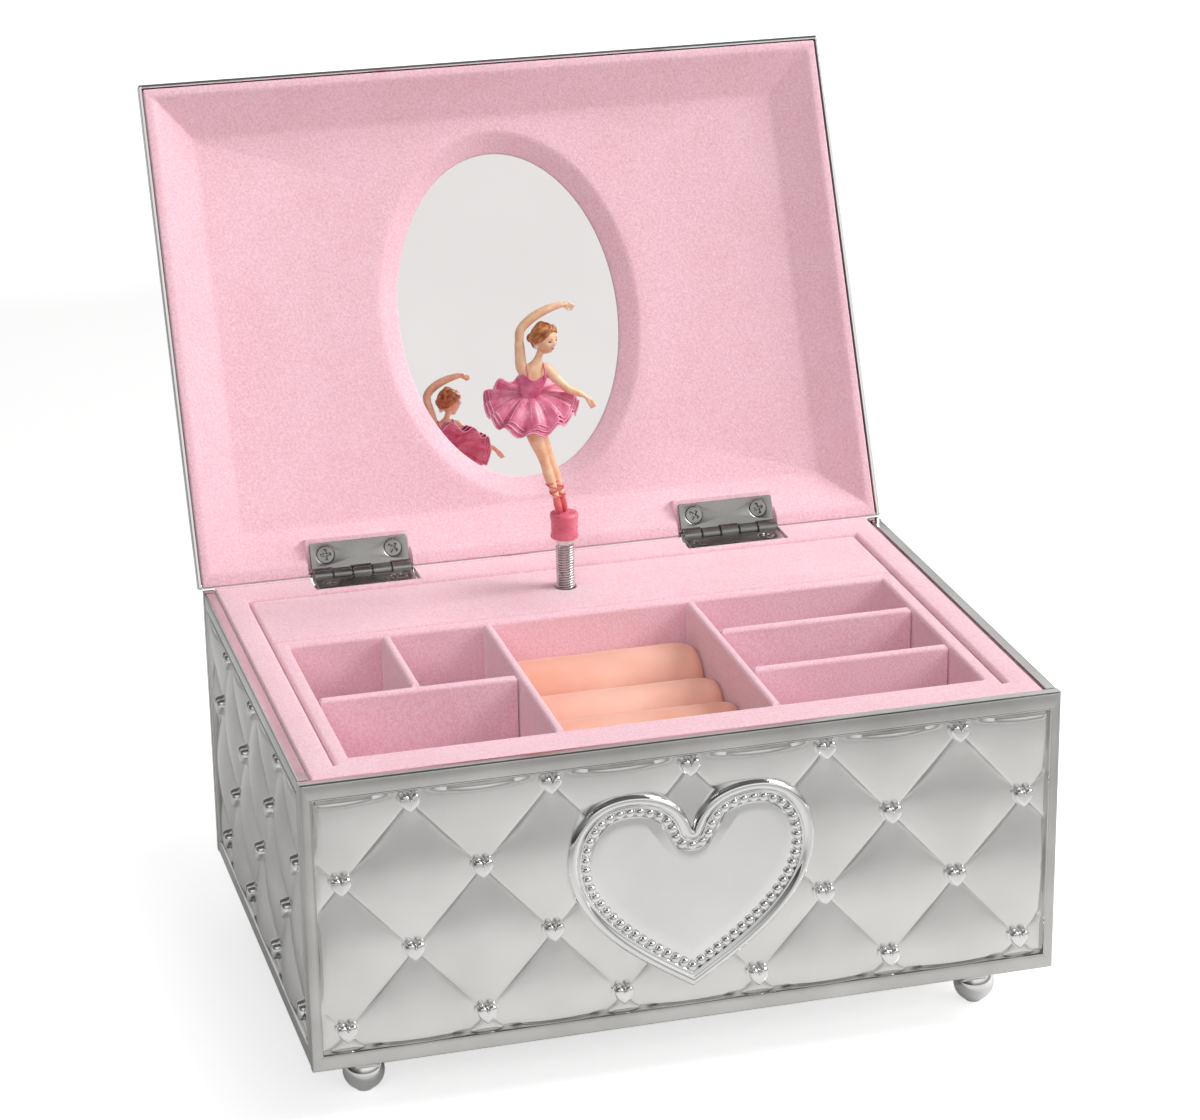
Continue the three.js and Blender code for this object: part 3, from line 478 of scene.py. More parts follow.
def metal(name, dark, light, rough_low, rough_high, grain=(1, 1, 1), grain_mm=0.3, depth=0.002):
    """Plated or bare metal: cloudy tone, handling marks in the gloss and a fine grain."""
    finish = Finish(name).set(Metallic=1.0)
    finish.colour(finish.ramp(finish.noise(18, 4), (0.3, dark), (0.7, light)))
    finish.roughness(finish.grey(finish.noise(7, 6, distortion=0.6), rough_low, rough_high))
    finish.bump(finish.noise(grain_mm, 2, finish.stretched(grain)), depth)
    return finish.material


def flocked(name, deep, base, tips):
    """Flocked board: short nap with a soft sheen, brushed in slightly different directions."""
    finish = Finish(name).set(Sheen_Weight=1.0, Sheen_Roughness=0.38, Specular_IOR_Level=0.1)
    finish.shader.inputs["Sheen Tint"].default_value = (1.0, 0.97, 0.98, 1)
    nap = finish.noise(0.55, 3)
    brushed = finish.noise(14, 3, distortion=0.3)
    mixed = finish.node("ShaderNodeMath", operation="ADD")
    for part, weight, socket in ((brushed, 0.2, 0), (nap, 0.8, 1)):
        scaled = finish.node("ShaderNodeMath", operation="MULTIPLY")
        scaled.inputs[1].default_value = weight
        finish.link(part, scaled.inputs[0])
        finish.link(scaled.outputs[0], mixed.inputs[socket])
    finish.colour(finish.ramp(mixed.outputs[0], (0.34, deep), (0.5, base), (0.66, tips)))
    finish.roughness(finish.grey(nap, 0.88, 1.0))
    finish.bump(brushed, 0.12, 0.5)
    finish.bump(nap, 0.09)
    return finish.material


def satin(name, deep, base, light):
    """Woven satin: fine ribs along the roll and slow changes of tone."""
    finish = Finish(name).set(Sheen_Weight=0.3, Sheen_Roughness=0.35, Specular_IOR_Level=0.4)
    ribs = finish.noise(0.25, 2, finish.stretched((0.12, 1, 1)))
    cloud = finish.noise(16, 2)
    finish.colour(finish.ramp(cloud, (0.3, deep), (0.5, base), (0.72, light)))
    finish.roughness(finish.grey(ribs, 0.5, 0.68))
    finish.bump(ribs, 0.03)
    return finish.material


def painted(name, deep, base, light, gloss=0.35, blotch=2.5):
    """Hand-painted or moulded plastic: thicker and thinner paint, small dimples, a thin gloss."""
    finish = Finish(name).set(Coat_Weight=0.15, Coat_Roughness=0.25)
    finish.colour(finish.ramp(finish.noise(blotch, 4), (0.32, deep), (0.5, base), (0.7, light)))
    finish.roughness(finish.grey(finish.noise(0.9, 3), gloss - 0.06, gloss + 0.1))
    finish.bump(finish.noise(0.5, 3), 0.02, 0.6)
    return finish.material


def mirror_finish():
    """Silvered glass with the faintest haze."""
    finish = Finish("mirror_glass").set(Metallic=1.0)
    finish.colour(finish.ramp(finish.noise(30, 2), (0.3, (0.93, 0.895, 0.885)),
                              (0.7, (0.96, 0.925, 0.915))))
    finish.roughness(finish.grey(finish.noise(12, 4), 0.004, 0.014))
    return finish.material


SILVER = metal("silver_plate", (0.76, 0.75, 0.735), (0.85, 0.84, 0.825), 0.17, 0.25, depth=0.0015)
POLISHED = metal("polished_silver", (0.86, 0.855, 0.85), (0.93, 0.925, 0.92), 0.05, 0.1, depth=0.0008)
# Frame silver: the same plate made darker than the field's silver, painted shade standing in for the darker
# reflections along the frames.
SHADED_FRAME_SILVER = metal("frame_silver_painted_shade", (0.54, 0.53, 0.515), (0.68, 0.67, 0.655), 0.12, 0.2, depth=0.001)
NICKEL = metal("dark_nickel", (0.34, 0.335, 0.32), (0.47, 0.46, 0.445), 0.22, 0.34, (0.1, 1, 1), 0.2)
SPRING_STEEL = metal("spring_steel", (0.66, 0.655, 0.64), (0.82, 0.81, 0.80), 0.2, 0.32)
STEEL = metal("movement_steel", (0.3, 0.3, 0.31), (0.45, 0.45, 0.46), 0.3, 0.45, (1, 0.08, 1))
BRASS = metal("movement_brass", (0.52, 0.36, 0.13), (0.68, 0.49, 0.2), 0.25, 0.4, (1, 1, 0.1))
MIRROR = mirror_finish()
FLOCK = flocked("flock", (0.79, 0.45, 0.52), (0.84, 0.53, 0.605), (0.88, 0.61, 0.69))
SATIN = satin("satin", (0.76, 0.37, 0.27), (0.80, 0.43, 0.33), (0.84, 0.50, 0.40))
SKIN = painted("figure_paint", (0.80, 0.45, 0.26), (0.88, 0.55, 0.35), (0.93, 0.66, 0.47))
HAIR = painted("hair_paint", (0.27, 0.08, 0.025), (0.47, 0.17, 0.06), (0.70, 0.33, 0.13), 0.4, 1.2)
BODICE = painted("bodice_paint", (0.54, 0.08, 0.17), (0.68, 0.13, 0.25), (0.81, 0.27, 0.42), 0.3, 3)
TUTU = painted("tutu_paint", (0.52, 0.09, 0.17), (0.68, 0.16, 0.27), (0.82, 0.31, 0.43), 0.3, 3)
# Hem colour: the lighter paint on the tutu's hems, also used for the painted highlight streaks drawn along
# the pleats.
HEM_AND_PLEAT_HIGHLIGHT = painted("hem_paint_and_pleat_highlight", (0.72, 0.2, 0.34), (0.84, 0.34, 0.48), (0.92, 0.5, 0.62), 0.3, 3)
RIBBON = painted("ribbon_paint", (0.62, 0.1, 0.1), (0.75, 0.15, 0.16), (0.85, 0.24, 0.24), 0.3)
CUP = painted("cup_plastic", (0.70, 0.13, 0.2), (0.78, 0.17, 0.25), (0.85, 0.25, 0.33), 0.3, 4)
INK = painted("eye_paint", (0.02, 0.012, 0.01), (0.035, 0.02, 0.015), (0.06, 0.03, 0.02), 0.3, 1)
WHITE = painted("pearl_paint", (0.78, 0.76, 0.74), (0.87, 0.86, 0.84), (0.95, 0.94, 0.93), 0.2, 1)
LIPS = painted("lip_paint", (0.55, 0.1, 0.1), (0.68, 0.16, 0.16), (0.78, 0.25, 0.24), 0.3, 1)


# ---------------------------------------------------------------- quilted silver panels


def heart_points(width, height, steps=24, notch=0.8):
    """A heart's outline from its tip at the origin, counter-clockwise."""
    w, h = width / 2, height
    curves = [
        [(0, 0), (w * 0.34, h * 0.13), (w, h * 0.36), (w, h * 0.68)],
        [(w, h * 0.68), (w, h * 0.87), (w * 0.8, h), (w / 2, h)],
        [(w / 2, h), (w * 0.26, h), (w * 0.05, h * (notch + 0.13)), (0, h * notch)],
    ]
    right = []
    for a, b, c, d in curves:
        for i in range(steps):
            t = i / steps
            s = 1 - t
            right.append(tuple(
                s ** 3 * a[k] + 3 * s * s * t * b[k] + 3 * s * t * t * c[k] + t ** 3 * d[k]
                for k in (0, 1)
            ))
    left = [(-x, y) for x, y in reversed(right[1:])]
    return right + [(0, h * notch)] + left


def lattice(u, v, origin):
    """Distance from the two families of quilting seams, 0 on a seam and 1 half-way between."""
    a = u / STUD_PITCH + (v - origin) / (2 * ROW_PITCH)
    b = u / STUD_PITCH - (v - origin) / (2 * ROW_PITCH)
    return 2 * np.abs(a - np.round(a)), 2 * np.abs(b - np.round(b))


def pillow_height(u, v, origin, edge):
    """Height of the stuffed-looking diamonds: crowned, pinched at the seams and at each stud."""
    across, along = lattice(u, v, origin)
    crown = (1 - (1 - across) ** 2) * (1 - (1 - along) ** 2)
    seam = np.exp(-across / 0.03) + np.exp(-along / 0.03)
    near_stud = np.hypot(across * STUD_PITCH / 4, along * STUD_PITCH / 4)
    dimple = 0.35 * np.exp(-(near_stud / 2.2) ** 2)
    rise = PILLOW_RISE * crown - SEAM_DEPTH * np.minimum(seam, 1.0) - dimple
    ease = np.clip(edge / 1.4, 0, 1)
    return rise * ease * ease * (3 - 2 * ease)


def grid_lines(low, high, anchor, step):
    """Evenly spaced lines through anchor, and the two edges."""
    first = math.ceil((low - anchor) / step + 0.2)
    last = math.floor((high - anchor) / step - 0.2)
    return np.array([low, *[anchor + i * step for i in range(first, last + 1)], high])


def quilt_field(half_u, low_v, high_v, origin, crease, floor, per_seam):
    """A closed slab whose face carries the pillows, split along the seams."""
    lines_u = grid_lines(-half_u, half_u, 0, STUD_PITCH / 2 / per_seam)
    lines_v = grid_lines(low_v, high_v, origin, ROW_PITCH / per_seam)
    grid_u, grid_v = np.meshgrid(lines_u, lines_v)
    edge = np.minimum(half_u - np.abs(grid_u), np.minimum(grid_v - low_v, high_v - grid_v))
    height = crease + pillow_height(grid_u, grid_v, origin, edge)
    columns, rows = len(lines_u), len(lines_v)
    shape = Shape()
    shape.points = list(zip(grid_u.ravel(), grid_v.ravel(), height.ravel()))
    for j in range(rows - 1):
        for i in range(columns - 1):
            a, b = j * columns + i, j * columns + i + 1
            c, d = a + columns + 1, a + columns
            middle_u = (lines_u[i] + lines_u[i + 1]) / 2
            middle_v = (lines_v[j] + lines_v[j + 1]) / 2
            across, along = lattice(middle_u, middle_v, origin)
            if across < along:
                shape.faces += [(a, b, d), (b, c, d)]
            else:
                shape.faces += [(a, b, c), (a, c, d)]
    rim = list(range(columns))
    rim += [j * columns + columns - 1 for j in range(1, rows)]
    rim += [(rows - 1) * columns + i for i in range(columns - 2, -1, -1)]
    rim += [j * columns for j in range(rows - 2, 0, -1)]
    start = len(shape.points)
    shape.points += [(shape.points[i][0], shape.points[i][1], floor) for i in rim]
    count = len(rim)
    for k in range(count):
        ahead = (k + 1) % count
        shape.faces.append((rim[k], start + k, start + ahead, rim[ahead]))
    shape.faces.append(tuple(start + k for k in range(count - 1, -1, -1)))
    return shape


def heart_stud():
    """A small domed heart on a narrow collar, its tip down."""
    outline = np.array(heart_points(STUD_SIZE, STUD_SIZE * 0.96, 7, 0.7))
    middle = np.array([0, STUD_SIZE * 0.52])
    rings = [[(*(middle + (p - middle) * 1.14), -0.9) for p in outline]]
    for reach, height in ((1.14, -0.25), (1.08, -0.02), (1.0, 0.02), (0.98, 0.8), (0.93, 1.15),
                          (0.82, 1.42), (0.6, 1.57), (0.25, 1.6)):
        rings.append([(*(middle + (p - middle) * reach), height) for p in outline])
    shape = loft(rings)
    shape.points = [(x, y - STUD_SIZE * 0.52, z) for x, y, z in shape.points]
    return shape


def stud_places(half_u, low_v, high_v, origin, blocked):
    columns = math.ceil(half_u / (STUD_PITCH / 2)) + 1
    for row in range(math.ceil((low_v - origin) / ROW_PITCH),
                     math.floor((high_v - origin) / ROW_PITCH) + 1):
        for column in range(-columns, columns + 1):
            u, v = column * STUD_PITCH / 2, origin + row * ROW_PITCH
            inside = abs(u) < half_u - 2 and low_v + 2.5 < v < high_v - 1.5
            if (row + column) % 2 == 0 and inside and not blocked(u, v):
                yield u, v


def border(outer, inner, high, crease):
    """A flat frame with eased edges, stepping down to the field."""
    rings = [rect_ring(outer, 0.02)]
    rings += [rect_ring(shrink(outer, inset), high + drop) for inset, drop in rounding(0.55)]
    bead = 0.55
    lip = ((-bead - 0.5, -0.02), (-bead, -0.12), (-bead * 0.75, 0.02), (-bead * 0.4, 0.06), (-0.06, -0.1),
           (0, -0.4))
    rings += [rect_ring(shrink(inner, inset), high + rise) for inset, rise in lip]
    rings += [rect_ring(shrink(inner, 0.12), crease - 0.05), rect_ring(shrink(inner, 0.12), 0.02)]
    return loft(rings, closed=True)


def quilted_panel(name, width, matrix, blocked=lambda u, v: False, carvings=()):
    """Field, frame and studs of one case wall, drawn with u across, v up and w outwards."""
    half = width / 2
    crease = PANEL_THICK - FIELD_RECESS
    origin = HEART_TIP - 0.1 + ROW_PITCH
    inner = (-half + BORDER_SIDE, half - BORDER_SIDE, BORDER_BOTTOM, BODY_HEIGHT - BORDER_TOP)
    field = quilt_field(inner[1] + 0.2, inner[2] - 0.2, inner[3] + 0.2, origin, crease, 0.0, 26)
    sheet = piece(f"{name}_field", field, "case", SILVER, [name], matrix, sharp=25,
                  ride=False)
    frame_shape = border((-half, half, 0.0, BODY_HEIGHT), inner, PANEL_THICK, crease)
    # The frame takes the darkened silver: painted shade for the darker reflections along the frames.
    rim = piece(f"{name}_frame", frame_shape, "case", SHADED_FRAME_SILVER, (), matrix, ride=False)
    for cutter in carvings:
        carve(sheet, [cutter], matrix)
        carve(rim, [cutter], matrix)
    dress(sheet, "case", [name])
    dress(rim, "case")
    studs = Shape()
    for u, v in stud_places(inner[1], inner[2], inner[3], origin, blocked):
        studs.join(heart_stud(), Matrix.Translation((u, v, crease)))
    piece(f"{name}_studs", studs, "case", POLISHED, (), matrix)


def block(x0, x1, y0, y1, z0, z1):
    shape = Shape()
    shape.points = [(x, y, z) for z in (z0, z1) for y in (y0, y1) for x in (x0, x1)]
    shape.faces = [(0, 2, 3, 1), (4, 5, 7, 6), (0, 1, 5, 4), (2, 6, 7, 3), (0, 4, 6, 2), (1, 3, 7, 5)]
    return shape


def hinge_blocks(y0, y1, z0, z1):
    """A cutter as wide as a leaf's seat, at each hinge."""
    return [block(x - SEAT_HALF, x + SEAT_HALF, y0, y1, z0, z1) for x in (-HINGE_X, HINGE_X)]


def case_walls():
    upright = Matrix.Rotation(math.pi / 2, 4, "X")

    def wall(turn, reach):
        return BOX @ Matrix.Rotation(turn, 4, "Z") @ Matrix.Translation((0, -reach, 0)) @ upright

    low = HINGE_Z - LEAF_THICK - SEAT_CLEAR
    through = hinge_blocks(low, BODY_HEIGHT + 1, -1, 4)
    knuckle_room = hinge_blocks(HINGE_Z - KNUCKLE_ROOM, BODY_HEIGHT + 1, 0.7, 4)
    seats = [cutter for pair in zip(through, knuckle_room) for cutter in pair]
    key_hole = loft([circle_ring(PANEL_KEY_HOLE, z, 40, (-SPINDLE_X, KEY_Z)) for z in (-1, 5)])
    cover_low = SOFT_TOP - REAR_COVER - GAP
    under_cover = block(-COVER_X - GAP, COVER_X + GAP, cover_low, BODY_HEIGHT + 1, -1, 4)
    quilted_panel("front_panel", WIDTH, wall(0, DEPTH / 2 - PANEL_THICK),
                  lambda u, v: abs(u) < STUD_PITCH / 2 + 1 and 20 < v < 50)
    quilted_panel("back_panel", WIDTH, wall(math.pi, DEPTH / 2 - PANEL_THICK),
                  lambda u, v: math.hypot(u + SPINDLE_X, v - KEY_Z) < 8, [*seats, key_hole, under_cover])
    side = DEPTH - 2 * PANEL_THICK - 0.6
    quilted_panel("right_panel", side, wall(math.pi / 2, WIDTH / 2 - PANEL_THICK))
    quilted_panel("left_panel", side, wall(-math.pi / 2, WIDTH / 2 - PANEL_THICK))
    collar = lathe([(2.35, 0.2), (4.2, 0.2), (4.4, 0.5), (4.1, 0.9), (2.9, 1.1), (2.35, 0.9), (2.35, 0.2)],
                   48)
    field = Matrix.Translation((-SPINDLE_X, KEY_Z, PANEL_THICK - FIELD_RECESS))
    place = wall(math.pi, DEPTH / 2 - PANEL_THICK) @ field
    piece("key_escutcheon", collar, "case", POLISHED, (), place)


def inset_ring(outline, middle, inset, angles):
    """Points at a steady distance inside a star-shaped outline, one for each angle."""
    edge = np.array(outline)
    ahead = np.roll(edge, -1, axis=0)
    span = ahead - edge
    found = []
    for angle in angles:
        way = np.array([math.cos(angle), math.sin(angle)])
        side = span[:, 0] * way[1] - span[:, 1] * way[0]
        offset = edge - middle
        with np.errstate(divide="ignore", invalid="ignore"):
            reach = (span[:, 0] * offset[:, 1] - span[:, 1] * offset[:, 0]) / side
            share = (way[0] * offset[:, 1] - way[1] * offset[:, 0]) / side
        hits = reach[(share >= -1e-9) & (share <= 1 + 1e-9) & (np.abs(reach) < 1e6)]
        low, high = 0.0, max(hits)
        length = (span ** 2).sum(1)
        for _ in range(26 if inset > 0 else 0):
            trial = (low + high) / 2
            point = middle + way * trial
            along = np.clip(((point - edge) * span).sum(1) / length, 0, 1)
            gap = np.sqrt(((edge + span * along[:, None] - point) ** 2).sum(1)).min()
            low, high = (trial, high) if gap > inset else (low, trial)
        found.append(middle + way * (high if inset <= 0 else low))
    return np.array(found)


def heart_medallion():
    """The heart plate: a rolled rim, a fine ridge, a row of beads and a flat polished face."""
    outline = heart_points(HEART_WIDTH, HEART_HEIGHT, 40)
    middle = np.array([0.0, HEART_HEIGHT * 0.52])
    outward = math.atan2(HEART_HEIGHT * 0.8 - middle[1], 0)
    angles = [outward + 2 * math.pi * i / 420 for i in range(420)]
    profile = [(0, 0.0), (0, 1.2), (0.12, 1.7), (0.4, 2.2), (0.85, 2.52), (1.3, 2.6), (1.75, 2.48),
               (2.1, 2.2), (2.35, 1.95), (2.5, 1.9), (2.65, 2.1), (2.85, 2.16), (3.05, 2.05),
               (3.2, 1.72), (3.4, 1.5), (4.9, 1.42), (5.4, 1.72), (5.7, 1.8), (8, 1.8), (12, 1.8)]
    rings = [[(*p, z) for p in inset_ring(outline, middle, inset, angles)] for inset, z in profile]
    upright = Matrix.Rotation(math.pi / 2, 4, "X")
    matrix = BOX @ Matrix.Translation((0, FIELD_RECESS - DEPTH / 2, HEART_TIP)) @ upright
    plate = loft(rings)
    piece("heart_plate", plate, "case", POLISHED, ["heart_medallion"], matrix, sharp=50)
    track = inset_ring(outline, middle, BEAD_INSET, angles)
    steps = np.sqrt(((np.roll(track, -1, axis=0) - track) ** 2).sum(1))
    reach = np.concatenate([[0], np.cumsum(steps)])
    total = reach[-1]
    count = 2 * round(total / BEAD_PITCH / 2)
    beads = Shape()
    closed = np.vstack([track, track[:1]])
    bead = lathe([(0, -0.6), (0.9, -0.6), (1.06, -0.2), (1.1, 0.1),
                  (0.98, 0.5), (0.7, 0.82), (0.36, 0.98), (0, 1.03)], 18)
    for k in range(count):
        at = total * k / count
        x, y = (np.interp(at, reach, closed[:, axis]) for axis in (0, 1))
        beads.join(bead, Matrix.Translation((x, y, BEAD_SEAT)))
    piece("heart_beads", beads, "case", POLISHED, (), matrix, sharp=60)


def feet():
    """Ball feet under turned collars."""
    radius = (foot_high.x - foot_low.x) / 2
    ball = FOOT_HEIGHT - 3.4
    profile = [(0, 0), (1.8, 0.02)]
    for i in range(1, 22):
        angle = math.radians(-90 + 20 + i * 6.6)
        profile.append((radius * math.cos(angle), ball / 2 * (1 + math.sin(angle))))
    profile += [(2.5, ball + 0.25), (2.45, ball + 0.7), (2.75, ball + 1.0), (3.3, ball + 1.25),
                (3.45, ball + 1.6), (3.3, ball + 2.0), (3.5, ball + 2.3), (3.5, FOOT_HEIGHT - 0.3),
                (0, FOOT_HEIGHT - 0.3)]
    for front in ("front", "rear"):
        for side in ("left", "right"):
            node = f"foot_{front}_{side}"
            low, high = box_mm(node)
            place = Matrix.Translation(((low.x + high.x) / 2, (low.y + high.y) / 2, 0))
            piece(f"{node}_ball", lathe(profile, 56), "case", POLISHED, [node], place,
                  sharp=50)


# ---------------------------------------------------------------- flocked linings, tray and rolls


def plan(low, high):
    """A node's footprint in the box frame."""
    return (low.x, high.x, low.y - Y_BOX, high.y - Y_BOX)


LINING_SIDE = 6.4
LINING_FRONT = 6.6
LINING_BACK = 6.9


def case_lining():
    reach = plan(lining_low, lining_high)
    outer = (reach[0], reach[1], reach[2], -reach[2])
    inner = (outer[0] + LINING_SIDE, outer[1] - LINING_SIDE, outer[2] + LINING_FRONT,
             outer[3] - LINING_BACK)
    rings = [rect_ring(outer, FLOOR), rect_ring(outer, SOFT_TOP - REAR_COVER)]
    covered = (-COVER_X, COVER_X, outer[2], reach[3])
    rings += [rect_ring(covered, SOFT_TOP - REAR_COVER + 0.02)]
    rings += [rect_ring(shrink(covered, inset), SOFT_TOP + drop) for inset, drop in rounding(0.6)]
    rings += [rect_ring(shrink(inner, -inset), SOFT_TOP + drop, 0.6)
              for inset, drop in reversed(rounding(1.1))]
    rings += [rect_ring(inner, FLOOR, 0.6)]
    lip_end = HINGE_Y + 0.08
    lip_rect = (-COVER_X, COVER_X, lip_end - REAR_LIP, lip_end)
    lip = soft_block(lip_rect, SOFT_TOP - REAR_COVER, HINGE_Z - 0.06, 0.2, 0.2)
    lip_piece = piece("case_lining_lip", lip, "case", FLOCK, ride=False)
    lining = piece("case_lining_flock", loft(rings, closed=True), "case", FLOCK, ride=False)
    seats = hinge_blocks(HINGE_Y - LEAF_LENGTH - 0.3, 61, HINGE_Z - LEAF_THICK - SEAT_CLEAR, SOFT_TOP + 2)
    carve(lip_piece, seats)
    dress(lip_piece, "case")
    along_y = Matrix.Rotation(-math.pi / 2, 4, "X")
    tunnel = loft([circle_ring(LINING_KEY_HOLE, z, 32) for z in (45, 62)])
    bore = Shape().join(tunnel, Matrix.Translation((SPINDLE_X, 0, KEY_Z)) @ along_y)
    carve(lining, [*seats, bore])
    dress(lining, "case", ["case_lining"])


def platform():
    """The flocked deck over the movement, with the spindle's hole."""
    rect = plan(deck_low, deck_high)
    low = TRAY_TOP - 3
    outer = [rect_ring(rect, low, 0.5, side=24), rect_ring(rect, TRAY_TOP - 0.9, 0.5, side=24)]
    outer += [rect_ring(shrink(rect, inset), TRAY_TOP + drop, 0.5, side=24) for inset,
              drop in rounding(0.9)]
    angles = [math.atan2(y - SPINDLE_Y, x - SPINDLE_X) for x, y, _ in outer[-1]]

    def hole(radius, z):
        return [(SPINDLE_X + radius * math.cos(a), SPINDLE_Y + radius * math.sin(a), z) for a in angles]

    radius = NECK_RADIUS + 0.35
    rings = [*outer, hole(radius + 8, TRAY_TOP), hole(radius + 0.5, TRAY_TOP),
             hole(radius + 0.12, TRAY_TOP - 0.2), hole(radius, TRAY_TOP - 0.6), hole(radius, low)]
    shape = loft(rings, closed=True)
    thick = 3.0
    for x0 in (rect[0], rect[1] - thick):
        shape.join(soft_block((x0, x0 + thick, rect[2] + 0.5, rect[3] - 0.5), FLOOR, low + 0.5, 0.2, 0.2))
    piece("platform_flock", shape, "case", FLOCK, ["movement_platform"])


def tray():
    rect = plan(tray_low, tray_high)
    pocket = (rect[0] + TRAY_WALL, rect[1] - TRAY_WALL, rect[2] + TRAY_WALL, rect[3] - TRAY_WALL + 0.5)
    bed = TRAY_TOP - TRAY_DEPTH
    rings = [rect_ring(pocket, bed - 2, 0.5), rect_ring(pocket, FLOOR, 0.5), rect_ring(rect, FLOOR, 0.5)]
    rings += [rect_ring(rect, TRAY_TOP - 1.0, 0.5)]
    rings += [rect_ring(shrink(rect, inset), TRAY_TOP + drop, 0.5) for inset, drop in rounding(1.0)]
    rings += [rect_ring(shrink(pocket, -inset), TRAY_TOP + drop, 0.5) for inset,
              drop in reversed(rounding(1.0))]
    rings += [rect_ring(pocket, bed + 1.2, 0.5), rect_ring(shrink(pocket, 0.35), bed + 0.35, 0.5)]
    rings += [rect_ring(shrink(pocket, 1.2), bed, 0.5)]
    piece("tray_flock", loft(rings), "case", FLOCK, ["tray_shell"])
    for node in ("left_rail", "right_rail", "left_cross", "left_short", "right_back", "right_front"):
        low, high = box_mm(f"divider_{node}")
        shape = soft_block(plan(low, high), low.z - FOOT_HEIGHT, high.z - FOOT_HEIGHT, 0.95, 0.3, 16)
        piece(f"divider_{node}_flock", shape, "case", FLOCK, [f"divider_{node}"])


def ring_rolls():
    """Satin rolls that grip rings between them: stuffed, so slightly uneven, with tucked ends."""
    for index in range(1, 5):
        node = f"ring_roll_{index}"
        low, high = box_mm(node)
        radius = (high.z - low.z) / 2
        y, z = (low.y + high.y) / 2, (low.z + high.z) / 2
        length = high.x - low.x
        stations, count = 90, 64
        rings = []
        for s in range(stations + 1):
            t = s / stations
            x = low.x + length * t
            near = min(t, 1 - t) * length
            tuck = 1 - 0.16 * math.exp(-((near / 1.6) ** 1.3)) if near > 0 else 0.8
            ring = []
            for i in range(count):
                angle = 2 * math.pi * i / count
                swell = noise.noise(Vector((x * 0.09, 2.2 * math.cos(angle),
                                            2.2 * math.sin(angle) + 7 * index)))
                crease = noise.noise(Vector((x * 0.45, 5 * math.cos(angle) + index, 5 * math.sin(angle))))
                reach = radius * tuck * (0.975 + 0.02 * swell) + 0.07 * crease
                reach = min(reach, radius)
                ring.append((x, y - reach * math.sin(angle), z + reach * math.cos(angle)))
            rings.append(ring)
        roll = piece(f"{node}_satin", loft(rings), "case", SATIN, [node], Matrix.Identity(4),
                     sharp=60)


# ---------------------------------------------------------------- lid


def lid_rect(inset):
    half = LID_WIDTH / 2 - inset
    return (-half, half, -LID_LENGTH + inset, -inset)


LID_CORNER = 0.4
LID_SIDE_STEPS = 40


def lid_level(inset, z):
    """A ring of the lid's outline, drawn in by inset, at height z above the hinge axis."""
    return rect_ring(lid_rect(inset), z, LID_CORNER, side=LID_SIDE_STEPS)


def oval_ring(radii, z, like):
    """An oval with one point for each point of a rectangle's ring."""
    half_x = LID_WIDTH / 2
    found = []
    for x, y, _ in like:
        angle = math.atan2((y + OVAL_CENTRE) / (LID_LENGTH / 2), x / half_x)
        found.append((radii[0] * math.cos(angle), -OVAL_CENTRE + radii[1] * math.sin(angle), z))
    return found


def grown(radii, by):
    return (radii[0] + by, radii[1] + by)


def hinge_notches():
    return hinge_blocks(-KNUCKLE_ROOM, 1, -1, KNUCKLE_ROOM)


def lid_shell():
    """Folded silver sheet: an upright band, the hipped slopes and a quilted top in a frame."""
    top = LID_HEIGHT
    ease = 0.5
    slope = (top - LID_BAND) / LID_HIP
    field = LID_HIP + BORDER_TOP
    crease = top - 0.7
    under = top - LID_TOP_WALL
    outside = [(0, RIM_GAP + 0.1), (0, LID_BAND - ease), (0.12, LID_BAND - 0.1), (0.45, LID_BAND + 0.35),
               (LID_HIP - ease, top - ease * slope), (LID_HIP - 0.05, top - 0.12), (LID_HIP + 0.5, top),
               (field - 0.3, top), (field - 0.05, top - 0.15), (field + 0.15, crease - 0.1)]
    inside = [(field + 0.15, under), (LID_HIP + LID_WALL, under), (LID_WALL, LID_BAND),
              (LID_WALL, RIM_GAP + 0.15), (LID_WALL - 0.15, RIM_GAP), (0.15, RIM_GAP)]
    sheet = loft([lid_level(inset, z) for inset, z in [*outside, *inside]], closed=True)
    shell = piece("lid_shell_sheet", sheet, "lid", POLISHED, matrix=LID, ride=False)
    span = LID_WIDTH / 2 - LID_WALL
    carve(shell, [block(-span, span, -LID_WALL - 1, 1, -1, RIM_GAP + REAR_RIM + GAP)], LID)
    carve(shell, hinge_notches(), LID)
    dress(shell, "lid", ["lid_shell"])
    middle = Matrix.Translation((0, -LID_LENGTH / 2, 0))
    half_u, half_v = LID_WIDTH / 2 - field - 0.1, LID_LENGTH / 2 - field - 0.1
    top_field = quilt_field(half_u, -half_v, half_v, 0, crease, under, 22)
    brim = crease + 0.69
    top_field.points = [(x, y, min(z, brim) if abs(x) > half_u - 0.01 else z) for x, y,
                        z in top_field.points]
    piece("lid_top_field", top_field, "lid", SILVER, (), LID @ middle, sharp=25)
    studs = Shape()
    for u, v in stud_places(half_u, -half_v, half_v, 0, lambda u, v: False):
        studs.join(heart_stud(), Matrix.Translation((u, v, crease)))
    piece("lid_top_studs", studs, "lid", POLISHED, (), LID @ middle)


